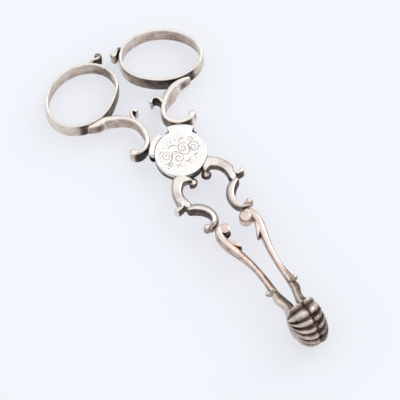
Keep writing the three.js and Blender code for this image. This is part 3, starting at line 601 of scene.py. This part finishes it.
def plateProfile(isFront):
    # For each angle: how much of it is shoulder, how near it lies to a shoulder's end wall, and the
    # rim's radius at the top and at the foot, since the end walls slant
    turn = np.arange(plate["columns"]) / plate["columns"] * 2 * np.pi
    clockwise = np.degrees(np.mod(np.pi / 2 - turn, 2 * np.pi))
    side = "front" if isFront else "back"
    first, last = hinge[side + "From"], hinge[side + "To"]
    edge = plate["shoulderEdge"]

    def between(low, high):
        # 1 between two angles, with a smooth step at both
        return ease(low - edge, low + edge, clockwise) * ease(high + edge, high - edge, clockwise)

    shoulder = between(first, last)
    if not isFront:                                            # this shoulder's lower end is rounded
        past = np.clip((clockwise - last + plate["roundEnd"]) / plate["roundEnd"], 0, 1)
        shoulder = shoulder * np.sqrt(1 - 0.95 * past ** 2)
    endWidth, lastWidth = plate["endWidth"], plate["endWidth" if isFront else "roundWidth"]
    endWall = bell(clockwise, first, endWidth) + bell(clockwise, last, lastWidth)
    more = plate["footSpread"] if isFront else -plate["footSpread"]
    step = (hinge["shoulderWidth"] + plate["shoulderReach"]) * (1 if isFront else plate["backReach"])
    return (turn, shoulder, endWall, hinge["radius"] + shoulder * step,
            hinge["radius"] + between(first - more, last + more) * step)


def hingePlate(isFront):
    # Rings of points: out over the top, round the edge, down the rim, back along the underside; the
    # back plate lies turned, so its shoulder's foot shows beside the front plate
    turn, shoulder, endWall, radius, footRadius = plateProfile(isFront)
    past = footRadius - hinge["radius"]
    shoulder = np.minimum(np.maximum(shoulder, past / hinge["shoulderWidth"] * (footRadius > radius)), 1)
    low = hinge["play"] / 2
    top, e = hingeTop - plate["inset"], plate["edgeRound"]
    clear = plate["lapGap"] + e
    drop = ease(clear + 0.03, clear + 0.28, past)                 # only clear of the other plate,
    drop = np.minimum(drop, np.minimum(np.roll(drop, 1), np.roll(drop, -1)))   # also between columns
    foot = low - drop * (hingeTop + low - plate["inset"])               # rim's lower end
    inner = np.minimum(footRadius - e, hinge["radius"] + plate["lapGap"])
    # painted shade on the front plate's downward foot, and on the feet and the back rim away from the
    # shoulder
    footShade = plate["frontFoot" if isFront else "backFoot"]
    farShade = footShade + plate["farFoot"] * (1 - shoulder)
    edgeShade = plate["edgeShade"] * isFront
    # painted shade on the shoulders' end walls
    rimShade = plate["edgeFilm"] + plate["endWall"] * endWall
    rimShade += plate["betweenArms"] * bell(np.degrees(turn), 270, 11)   # painted shade of the hollow between the arms
    rimShade += (0 if isFront else plate["farFoot"] * (1 - shoulder))
    rows, tarnish = [], []

    def row(r, z, shade):
        # One ring of points: radius, height and shade are one value, or one for each column
        r, z = np.broadcast_to(r, turn.shape), np.broadcast_to(z, turn.shape)
        rows.append(np.stack([r * np.cos(turn), r * np.sin(turn), z], -1))
        tarnish.append(np.broadcast_to(shade, turn.shape))

    firstRadius, lastRadius = (plate["middle"],) * 2 if isFront else (plate["rivetHead"], plate["rivetBore"])
    for share in np.linspace(0, 1, 104 if isFront else 30):
        row(firstRadius + (radius - e - firstRadius) * share, top, plate["topFilm"])
    flatRows = len(rows)
    # painted dark reflection along the front plate's rounded edge
    for angle in np.radians([22, 45, 68, 90]):
        shade = plate["edgeFilm"] + edgeShade * (1 - np.cos(angle))
        row(radius - e + e * np.sin(angle), top - e + e * np.cos(angle), shade)
    # down the rim, a painted shade line at its lower end, where the gap to the other plate lies
    for share in np.linspace(0, 1, 16)[1:]:
        shade = rimShade + edgeShade * (share < 0.15) + plate["footLine"] * share ** 8
        row(radius + (footRadius - radius) * share, (top - e) + (foot + e - top + e) * share, shade)
    for angle in np.radians([30, 60, 90]):
        row(footRadius - e + e * np.cos(angle), foot + e - e * np.sin(angle), farShade)
    for share in (0.06, 0.5, 0.94):
        row(footRadius - e + (inner - footRadius + e) * share, foot, farShade)
    row(inner, foot, footShade + 0.1)
    # painted shade on the lap wall, the underside and the rivet's seat
    for share in (0.04, 0.3, 0.65, 1):
        row(inner, foot + (low - foot) * share, plate["lap"])
    for share in np.linspace(0, 1, 8)[1:]:
        row(inner + (lastRadius - inner) * share, low, plate["under"])
    if not isFront:                                            # the rivet's bore and its head's seat
        row(plate["rivetBore"], top - plate["headSeat"], plate["seat"])
        row(plate["rivetHead"], top - plate["headSeat"], plate["seat"])
        row(plate["rivetHead"], top - plate["headEdge"], plate["headWall"])
    rings, tarnish = np.array(rows), np.array(tarnish, float)
    if isFront:
        flat = rings[:flatRows]
        depth = engraved(flat[..., 0], flat[..., 1])
        flat[..., 2] -= plate["engraveDepth"] * depth
        tarnish[:flatRows] += plate["lineShade"] * depth
    return closedSurface(rings, tarnish, isLoop=not isFront)


makePiece("front_hinge_plate", settle(hingePlate(True), False))
makePiece("back_hinge_plate", settle(hingePlate(False), True))

# Rivet: a shank through both plates, its head filed flush in the back plate with a rounded edge
rivet = dict(
    radii=[0.1, 1.0, 2.0, 2.12, 2.2, 2.2, 1.7, 1.22, 1.2, 1.2, 1.1],
    heights=[0, 0, 0, 0.02, 0.1, 0.6, 0.6, 0.6, 0.7, 2.6, 2.7], film=0.12)
rivetRings = lathe((0, 0), rivet["radii"], np.array(rivet["heights"]) - hingeTop, around=64)
makePiece("hinge_rivet", settle(closedSurface(rivetRings, rivet["film"]), False))
print("hinge ready")

# Arms: each half's lower side, drawn on the +X side; the front one is turned round the long axis
armScroll = dict(
    across=6.9, along=7.4, halfWidth=1.55, halfHeight=1.7, power=3.4,
    route=[(0.2, -0.3), (0.12, -0.32), (0.07, -0.23), (0.13, -0.11), (0.28, 0), (0.5, 0.07), (0.75, -0.05),
        (0.92, -0.27), (1, -0.53), (0.99, -0.78), (0.93, -0.98)],
    widths=[0.42, 0.38, 0.35, 0.39, 0.58, 0.92, 1.06, 1.04, 1.02, 0.98, 0.86],
    heights=[0.8, 0.82, 0.84, 0.9, 1, 1, 1, 1.02, 1.08, 1.18, 1.28], outer=0.24, inner=0.62, ends=0,
    spots=[(0.5, 0.26, 0.06), (0.16, 0.74, 0.12), (0.55, 0, 0.1)], wallSpots=[(0.3, 0.16, 0.1)],
    innerSpots=[(0.6, 0.26, 0.09)], tail=0.5, ridge=0.35, ridgeShift=0.5, slope=0.1, rootSpread=0.95,
    webReach=1.5, webDrop=0.35)
lowerScroll = dict(
    across=4.45, along=8.7, halfWidth=0.95, halfHeight=2.4, power=4,
    route=[(0.98, 0), (0.68, -0.06), (0.35, -0.19), (0.1, -0.38), (0, -0.59), (0.06, -0.79), (0.26, -0.93),
        (0.62, -1)],
    widths=[1.1, 1.4, 1.5, 1.38, 1.22, 1.12, 1.02, 0.84], heights=[0.95, 1, 1, 1, 1, 1, 1, 0.97], outer=0.4,
    inner=0.82, ends=0, slopeShade=0.14, cutDepth=0.14, cutShade=0.6, ridge=0.42, outerSlope=0.42,
    innerSlope=0.05)
armSpur = dict(
    across=2.9, along=0.9, halfWidth=0.5, halfHeight=2.1, power=3,
    route=[(0.34, 3.1), (0.2, 2.0), (0.1, 0.9), (0.17, 0.05), (0.4, -0.12), (0.66, -0.05), (0.86, 0.12)],
    widths=[0.4, 0.7, 0.8, 0.95, 1.25, 1.6, 1.7], heights=[0.9, 1.06, 1.1, 1.06, 1, 0.98, 0.9], outer=0.5,
    inner=0.85, ends=0)
ball = dict(radius=1.08, halfHeight=2.0, rise=0.65, power=2.5, film=0.04, side=0.5)
stem = dict(
    across=3.05, along=25.7, halfWidth=1.32, halfHeight=2.3, power=3.2,
    route=[(0.34, 0), (0.62, 0.002), (0.86, -0.027), (0.99, -0.075), (1, -0.14), (0.88, -0.22),
        (0.65, -0.32), (0.4, -0.44), (0.19, -0.56), (0.06, -0.7), (0, -0.84), (0, -1)],
    widths=[0.8, 0.86, 0.92, 0.94, 0.96, 1, 0.95, 0.83, 0.75, 0.72, 0.76, 0.84],
    heights=[0.93, 0.96, 1, 1, 1, 1, 0.92, 0.8, 0.68, 0.62, 0.6, 0.64], outer=0.38, frontInner=0.5,
    backInner=0.24, ends=0.1, cream=0.07, lowLine=0.5, frontFarSideShade=0.56, backFarSideShade=0.42, frontFall=0.3,
    backFall=0.06, ridge=0.45, slope=0.1, flare=0.3)
volute = dict(
    radius=2.08, halfHeight=2.24, power=3.6, narrowed=0.4, film=0.17, side=0.1, low=0.45, hollow=0.6)
leaf = dict(
    across=1.75, along=3.45, halfWidth=0.5, halfHeight=2.1, power=4,
    route=[(0, 0.1), (-0.27, -0.36), (-0.6, -0.7), (-1, -1)],
    widths=[0.6, 1.25, 1.35, 0.9], heights=[0.98, 1, 0.97, 0.86], outer=0.3, inner=0.6, ends=0, film=0.1)
knop = dict(
    across=3.5, along=0.3, halfWidth=0.72, halfHeight=1.75, power=2.3,
    route=[(-0.15, -0.45), (0.05, -0.2), (0.26, 0.9), (0.38, 2.0), (0.47, 2.5)],
    widths=[0.85, 1.05, 1, 1.15, 1.2], heights=[0.92, 1, 0.88, 0.7, 0.62], collar=0.46, budHighlight=0.36,
    budSide=0.3)
neck = dict(
    across=1.0, along=6.9, halfWidth=1.5, halfHeight=1.6, power=2.6,
    route=[(0, 0.02), (0.08, -0.16), (-0.45, -0.45), (-0.85, -0.74), (-0.55, -1)],
    widths=[0.9, 1.08, 1.05, 1.08, 1.2], heights=[0.9, 0.92, 0.9, 1.05, 1.4], film=0.14, farFaceShade=0.5,
    middleShade=0.1, pinch=0.4, ridge=0.5, slopes=(0.5, 0.1))
places = dict(
    armX=1.75, armGap=0.25, spurShare=0.6, stemInset=0.65, headShare=0.82, voluteAcross=0.62,
    voluteDrop=0.9, leafStep=3.7, leafSink=0.3, knopDrop=0.6, neckDrop=2.0, discGap=0.16, discDrop=0.45)

# Shell bowls: ribs fan out from a crest below the neck's end; hollow towards each other
shell = dict(
    depth=5.45, halfBreadth=7.95, topLength=6.9, tipLength=7.3, crestDrop=2.8, wall=0.95, ribHeight=0.8,
    closedGap=0.2, seamShift=0.5, backTrim=0.35, neckSink=1.2, ribs=11, outline=2.5, tipOutline=1.9,
    topPower=3.2, tipPower=2.3, ribRise=0.5, insideRibs=0.35, ribCrowd=0.25, lipRib=0.085, lipPower=10,
    lipScale=28.5, sideSharp=0.7, moreSharp=0.6, lobeRound=1.6, lobeDrop=0.6, grooveDrop=0.5, film=0.1,
    groove=1.1, grooveFall=0.8, grooveShade=0.8, neckSmooth=0.45, rimShade=0.6, hollow=0.55, hollowRibs=0.2,
    backLobeShade=0.26)


def clearOfDisc(rings, edge):
    # Points within the other half's plate, or so little below it that a face from them would slant
    # into it, are moved out to a cylinder round it
    reach = np.hypot(rings[..., 0], rings[..., 1])
    out = np.where((reach < edge) & (rings[..., 2] > -places["discDrop"]), edge / np.maximum(reach, 1e-6), 1)
    rings[..., :2] *= out[..., None]
    return rings


def upright(centre, size):
    # Button: the radius and height follow a superellipse from top to bottom
    angle = np.radians(np.linspace(-88, 88, 27))
    s = np.sin(angle)
    return lathe(centre, size["radius"] * squarer(np.cos(angle), size["power"]),
                 size["halfHeight"] * squarer(s, size["power"])), s[:, None]


def bowlSpread(y, z, inset):
    # How far a place lies from the bowl's middle towards its rim: 1 on the rim
    length = np.where(y > 0, shell["topLength"], shell["tipLength"]) - inset
    power = shell["outline"] + (shell["tipOutline"] - shell["outline"]) * ease(1.5, -3, y)
    return (np.abs(y / length) ** power + np.abs(z / (shell["halfBreadth"] - inset)) ** power) ** (1 / power)


def bowlSurface(fan, out, inset, ribHeight):
    # Fan angle round the crest and share of the way to the rim, whose distance is found by halving;
    # the dome falls as a superellipse, and grooves between the ribs scale it down
    crestY = shell["topLength"] - shell["crestDrop"]
    near, far = np.zeros(fan.shape), np.full(fan.shape, shell["topLength"] + shell["tipLength"])
    for _ in range(40):
        middle = (near + far) / 2
        isInside = bowlSpread(crestY - np.cos(fan) * middle, np.sin(fan) * middle, inset) < 1
        near, far = np.where(isInside, middle, near), np.where(isInside, far, middle)
    y, z = crestY - np.cos(fan) * near * out, np.sin(fan) * near * out
    turn = fan / (np.pi / 2)
    reach = np.minimum(np.abs(turn), 1)
    turn = turn + shell["ribCrowd"] * np.sin(np.pi * turn) / np.pi       # wider ribs towards both sides,
    bump = shell["lipScale"] * reach ** shell["lipPower"] * (1 - reach)  # which peaks at 1 near the lip,
    turn = turn - np.sign(fan) * shell["lipRib"] * bump                  # gives a thin one beside the neck
    sharp = shell["sideSharp"] + shell["moreSharp"] * ease(1.0, 0.4, np.abs(fan))   # towards the tip
    crown = np.abs(np.cos(turn * shell["ribs"] * np.pi / 2))
    crown = np.where(np.abs(fan) <= np.pi / 2, crown, 0) ** sharp
    rise = np.sin(np.minimum(1, out / shell["ribRise"]) * np.pi / 2)
    rib = 1 - (1 - crown) * rise * ribHeight / shell["depth"]
    power = np.where(y > 0, shell["topPower"], shell["tipPower"])
    dome = np.maximum(0, 1 - bowlSpread(y, z, inset) ** power) ** (1 / power)
    return np.stack([(shell["depth"] - inset) * dome * rib, y * rib, z * rib], -1), crown


def shellBowl(middleY, shift, trim, dullShade):
    # Rings from the crest out over the ribs to the rim, across its edge, and back inside; the shift
    # moves the rim along the seam's own normal, fading to none at the bowl's outermost point
    fan = np.arange(352) / 352 * 2 * np.pi - np.pi
    outer = np.concatenate([np.linspace(0.02, 0.9, 44), np.linspace(0.915, 1, 14)])
    inner = np.concatenate([np.linspace(1, 0.9, 8), np.linspace(0.85, 0.03, 16)])
    faceX = shell["closedGap"] / 2
    fans, outs = np.meshgrid(fan, outer)
    outside, crown = bowlSurface(fans, outs, 0, shell["ribHeight"])
    outside[..., 0] = np.maximum(outside[..., 0], faceX + 0.25 * (1 - outs))
    outside[-1, :, 0] = faceX
    # towards the rim every rib ends as a rounded lobe: a quarter circle over the last of its depth
    near = np.clip(1 - outside[..., 0] / shell["lobeRound"], 0, 1)
    drop = shell["lobeDrop"] + shell["grooveDrop"] * (1 - crown)
    outside[..., 1:] *= (1 - drop * (1 - np.sqrt(1 - near ** 2)) / shell["halfBreadth"])[..., None]
    fans, outs = np.meshgrid(fan, inner)
    inside, hollow = bowlSurface(fans, outs, shell["wall"], shell["ribHeight"] * shell["insideRibs"])
    inside[..., 0] = np.maximum(inside[..., 0], faceX)
    rings = np.concatenate([outside, inside])
    rings[..., 0] = shift + rings[..., 0] * (shell["depth"] - shift - trim) / shell["depth"]
    rings[..., 1] += middleY
    aside = np.abs(fan)[None]
    groove = shell["groove"] * (1 - crown) ** shell["grooveFall"] * ease(0.05, 0.3, outer)[:, None]
    groove = groove * (1 - shell["neckSmooth"] * ease(1.58, 1.9, aside))   # smooth beside the neck
    # painted shade: the back bowl's lobes duller away from the neck
    lobes = shell["film"] + dullShade * ease(1.1, 0.8, aside)
    shade = np.maximum(lobes + shell["grooveShade"] * groove, shell["rimShade"] * ease(0.25, 0.65, near))
    tarnish = np.concatenate([shade, shell["hollow"] + shell["hollowRibs"] * (1 - hollow)])
    return closedSurface(rings, tarnish)


def tailCuts(t, u):
    # Two cuts along the lower scroll's tail
    return (bell(u, -0.2, 0.16) + bell(u, 0.35, 0.16)) * ease(0.84, 0.97, t)


def armSide(prefix, isTurned, leansBy):
    # Each piece is set against the one before it, from the hinge down to the shell
    isFront, isBack = prefix == "front", prefix == "back"
    # image right is the inner side of the front half and the outer side of the back half
    farSide = -1 if isFront else 1
    start = np.array([places["armX"], -hinge["radius"] - places["armGap"]])
    armPoints = routePoints(armScroll, start)
    armEnd = armPoints[-1]
    made = {}

    def armTop(t, u, v):
        # A soft ridge that wanders from the inner to the outer side; the root spreads into its own
        # plate, and a lower web fills the corner between the root's curl and the axis
        spread = 1 + armScroll["rootSpread"] * bell(t, 0.45, 0.1) * (u > 0)
        web = bell(t, 0.2, 0.09) * ease(0, 0.3, u)
        ridge = armScroll["ridge"] - armScroll["ridgeShift"] * ease(0.45, 0.9, t)
        top = ridged(u, v, ridge, armScroll["slope"], armScroll["slope"] * (1 - bell(t, 0.45, 0.12)))
        return u * (spread + armScroll["webReach"] * web), top * (1 - armScroll["webDrop"] * web)

    def lowerTop(t, u, v):
        # A ridge near the inner edge, with a broad slope outside it and the cuts at the tail
        top = ridged(u, v, *(lowerScroll[key] for key in ("ridge", "outerSlope", "innerSlope")))
        return u, top * (1 - lowerScroll["cutDepth"] * tailCuts(t, u))

    def stemTop(t, u, v):
        # It falls away to the far side, more and more towards the knop, where the back one widens
        far = stem[prefix + "Fall"] * ease(0.25, 0.75, t)
        u = u * (1 + stem["flare"] * ease(0.9, 1, t) * (u > 0) * isBack)
        return u, ridged(u, v, -stem["ridge"] * farSide, stem["slope"] + far * (farSide < 0),
                         stem["slope"] + far * (farSide > 0))

    def neckTop(t, u, v):
        # Its ridge lies near the side that faces the camera; the back one is pinched on its far side
        u = u * (1 - neck["pinch"] * bell(t, 0.45, 0.28) * (u > 0) * isBack)
        slopes = neck["slopes"] if isFront else neck["slopes"][::-1]
        return u, ridged(u, v, -neck["ridge"] * farSide, *slopes)

    rings, t, u, v = sweep(armScroll, armPoints, along=130, around=48, sculpt=armTop)
    rings = clearOfDisc(rings, hinge["radius"] + places["discGap"])
    onWalls = spots(t, armScroll["wallSpots"]) + armScroll["tail"] * ease(0.97, 1.0, t)
    made["arm_scroll"] = (rings, sideTarnishAndShade(armScroll, t, u, v, -1) + spots(t, armScroll["spots"])
                          + onWalls * ease(0.98, 0.85, np.abs(v))
                          + spots(t, armScroll["innerSpots"]) * ease(0.2, 0.5, u))

    cutDrop = armScroll["halfWidth"] * armScroll["widths"][-1] + solderGap
    lowerStart = np.array([armEnd[0] - lowerScroll["across"], armEnd[1] - cutDrop])
    lowerPoints = routePoints(lowerScroll, lowerStart)
    lowerEnd = lowerPoints[-1]
    rings, t, u, v = sweep(lowerScroll, lowerPoints, along=120, around=48, sculpt=lowerTop)
    # painted shade on the outer slope
    tarnish = sideTarnishAndShade(lowerScroll, t, u, v, 1) + lowerScroll["slopeShade"] * ease(0.2, -0.6, u)
    made["lower_scroll"] = (rings, tarnish + lowerScroll["cutShade"] * tailCuts(t, u))

    spurStart = (armEnd[0] + armScroll["halfWidth"] * places["spurShare"], armEnd[1])
    rings, t, u, v = sweep(armSpur, routePoints(armSpur, spurStart), along=60)
    tarnish = sideTarnishAndShade(armSpur, t, u, v, -1) * ease(1, 0.85, t)
    made["arm_spur"] = (rings, np.maximum(0.04, tarnish))
    rings, s = upright(lowerEnd + [ball["radius"], ball["rise"]], ball)
    # painted shade on the ball's sides
    made["scroll_ball"] = (rings, ball["film"] + ball["side"] * ease(0.85, 0.4, np.abs(s)))

    lowest = lowerEnd[1] - lowerScroll["halfWidth"] * lowerScroll["widths"][-1]
    headDrop = solderGap + stem["halfWidth"] * places["headShare"]
    head = np.array([lowerStart[0] - places["stemInset"], lowest - headDrop])
    stemPoints = routePoints(stem, head)
    stemEnd = stemPoints[-1]
    rings, t, u, v = sweep(stem, stemPoints, along=160, around=48, sculpt=stemTop)
    tarnish = sideTarnishAndShade({**stem, "inner": stem[prefix + "Inner"]}, t, u, v, -1)
    if isBack:                                 # creamy on top, with a painted shade line along its lower edge
        tarnish += stem["cream"] + stem["lowLine"] * bell(v, -0.85, 0.25) * (u < 0)
    # painted shade on the side that faces image right, from the middle of the front stem and near the back
    # stem's knop
    darkened = stem[prefix + "FarSideShade"] * (ease(0.3, 0.7, t) if isFront else ease(0.84, 0.96, t))
    made["stem"] = (rings, tarnish + darkened * ease(-0.4, 0.05, farSide * u))
    rings, s = upright(head + np.array([places["voluteAcross"], -places["voluteDrop"]]), volute)
    waist = ease(0.8, 0.5, np.abs(s)) * isFront
    middle = rings.mean(1, keepdims=True)
    rings = middle + (rings - middle) * (1 - volute["narrowed"] * waist[..., None])
    # painted shade: darker sides, lower part and pinched waist
    low = ease(-0.1, -0.8, s * (-1 if isFront else 1))
    side = volute["side"] * ease(0.85, 0.5, np.abs(s))
    made["stem_volute"] = (rings, volute["film"] + side + volute["low"] * low + volute["hollow"] * waist)
    leafSeat, outward = onRoute(stemPoints, places["leafStep"] + 1)
    outward = outward if outward[0] > 0 else -outward
    leafStart = leafSeat - outward * (stem["halfWidth"] - places["leafSink"])
    rings, t, u, v = sweep(leaf, routePoints(leaf, leafStart), along=50)
    made["stem_leaf"] = (rings, sideTarnishAndShade(leaf, t, u, v, 1))
    rings, t, u, v = sweep(knop, routePoints(knop, stemEnd - [0, places["knopDrop"]]), along=60)
    # painted shade on the collar and the bud's sides, and a painted highlight on the bud
    budSide = knop["budSide"] * ease(0.9, 0.4, np.abs(v)) * ease(0.7, 0.8, t)
    made["knop"] = (rings, knop["collar"] - knop["budHighlight"] * ease(0.62, 0.8, t) + budSide)

    neckPoints = routePoints(neck, stemEnd - [0, places["neckDrop"]])
    rings, t, u, v = sweep(neck, neckPoints, along=80, around=48, sculpt=neckTop)
    # painted shade on the neck's far side and on its side walls
    tarnish = neck["film"] + neck["farFaceShade"] * ease(-0.5, 0.05, farSide * u)
    neckSurface = closedSurface(rings, tarnish + neck["middleShade"] * (np.abs(v) < 0.5))
    # the photograph's seam lies a little towards the back half
    bowl = shellBowl(neckPoints[-1][1] - shell["topLength"] + shell["neckSink"], farSide * shell["seamShift"],
                     shell["backTrim"] * isBack, shell["backLobeShade"] * isBack)
    for name, surface in made.items():
        makePiece(f"{prefix}_{name}", settle(closedSurface(*surface), isTurned, leansBy))
    makePiece(f"{prefix}_shell_bowl", settle(bowl, isTurned, leansBy),
              settle(neckSurface, isTurned, leansBy))


armSide("front", True, -1)
armSide("back", False, 1)
print("arms and shells ready")

# Camera: the photograph's angle and roll, from far away with a long lens; distance in metres, and
# the aim in millimetres
view = dict(
    elevation=61.6, turn=28.4, roll=-6.6, distance=4.0, mmPerPixel=0.295, pixels=400, aimRight=5.69,
    aimUp=-13.92, aimHeight=3.4, sensor=36, sees=20)


def addCamera():
    # Aim point = hinge top moved along the picture's own axes; lens = sensor times distance over width
    e, a, roll = (math.radians(view[key]) for key in ("elevation", "turn", "roll"))
    back = Vector((-math.cos(e) * math.sin(a), -math.cos(e) * math.cos(a), math.sin(e)))
    right = Vector((math.cos(a), -math.sin(a), 0))
    up = back.cross(right)
    right, up = math.cos(roll) * right + math.sin(roll) * up, -math.sin(roll) * right + math.cos(roll) * up
    aim = Vector((0, 0, view["aimHeight"])) + view["aimRight"] * right + view["aimUp"] * up
    lens = bpy.data.cameras.new("view")
    lens.sensor_width = view["sensor"]
    lens.lens = view["sensor"] * view["distance"] * 1000 / (view["mmPerPixel"] * view["pixels"])
    lens.clip_end = view["sees"]
    camera = inScene("view", lens)
    turned = Matrix((right, up, back)).transposed().to_4x4()
    turned.translation = aim * mm + back * view["distance"]
    camera.matrix_world = turned
    bpy.context.scene.camera = camera


addCamera()

# Table: a plain pale sheet that carries the rings' lower edges and the shells
table = dict(
    size=1600.0, ringY=38.0, ringZ=-1.32, shellY=-68.0, shellZ=-6.32, colour="#f1f3f8", lift=0.66,
    glow=0.99)


def addTable():
    # One tilted square: z falls evenly from under the rings to under the shells; for the camera and
    # in reflections a part of it shines by itself, the rest takes light and the shadow
    mesh = bpy.data.meshes.new("table_top")
    slope = (table["ringZ"] - table["shellZ"]) / (table["ringY"] - table["shellY"])
    half = table["size"] / 2
    corners = [(x, y, table["ringZ"] + (y - table["ringY"]) * slope)
               for x, y in ((-half, -half), (half, -half), (half, half), (-half, half))]
    mesh.from_pydata([tuple(c * mm for c in corner) for corner in corners], [], [(0, 1, 2, 3)])
    material = bpy.data.materials.new("pale_paper")
    tree = emptyTree(material)
    sheet = addNode(tree, "BsdfDiffuse", Color=linear(table["colour"]))
    glow = addNode(tree, "Emission", Color=linear(table["colour"]), Strength=table["glow"])
    path = addNode(tree, "LightPath")
    seen = addNode(tree, "Math", {"operation": "ADD", "use_clamp": True},
                   in0=(path, "Is Camera Ray"), in1=(path, "Is Glossy Ray"))
    lift = addNode(tree, "Math", {"operation": "MULTIPLY"}, in0=(seen, 0), in1=table["lift"])
    shader = addNode(tree, "MixShader", in0=(lift, 0), in1=(sheet, 0), in2=(glow, 0))
    addNode(tree, "OutputMaterial", Surface=(shader, 0))
    mesh.materials.append(material)
    top = inScene("table_top", mesh)


addTable()

# Light: a pale room that is brightest overhead, and one large soft lamp from the upper right
light = dict(
    zenith=1.16, horizon=0.36, seen=0.95, colour="#f4f6fa", lampPower=4.2, lampSize=0.9,
    lampPlace=(1.15, 0.1, 0.8))


def addLight():
    # The room's strength rises from horizon to zenith with the height of the ray, and is one plain
    # level for the camera; the lamp is a disk that faces the object
    world = bpy.data.worlds.new("room")
    bpy.context.scene.world = world
    tree = emptyTree(world)
    place = addNode(tree, "TexCoord")
    split = addNode(tree, "SeparateXYZ", Vector=(place, "Generated"))
    level = addNode(tree, "MapRange", {"interpolation_type": "SMOOTHSTEP"}, Value=(split, "Z"),
                    in1=-0.05, in2=0.62, in3=light["horizon"], in4=light["zenith"])
    path = addNode(tree, "LightPath")
    shown = addNode(tree, "Mix", {"data_type": "FLOAT"}, in0=(path, "Is Camera Ray"), in2=(level, 0),
                    in3=light["seen"])
    glow = addNode(tree, "Background", Color=linear(light["colour"]), Strength=(shown, 0))
    addNode(tree, "OutputWorld", Surface=(glow, 0))
    lamp = bpy.data.lights.new("soft_lamp", "AREA")
    lamp.shape, lamp.size, lamp.energy = "DISK", light["lampSize"], light["lampPower"]
    holder = inScene("soft_lamp", lamp)
    holder.location = light["lampPlace"]
    holder.rotation_euler = Vector(light["lampPlace"]).to_track_quat("Z", "Y").to_euler()


addLight()
bpy.context.scene.view_settings.view_transform = "Standard"
print("camera, table and light ready")
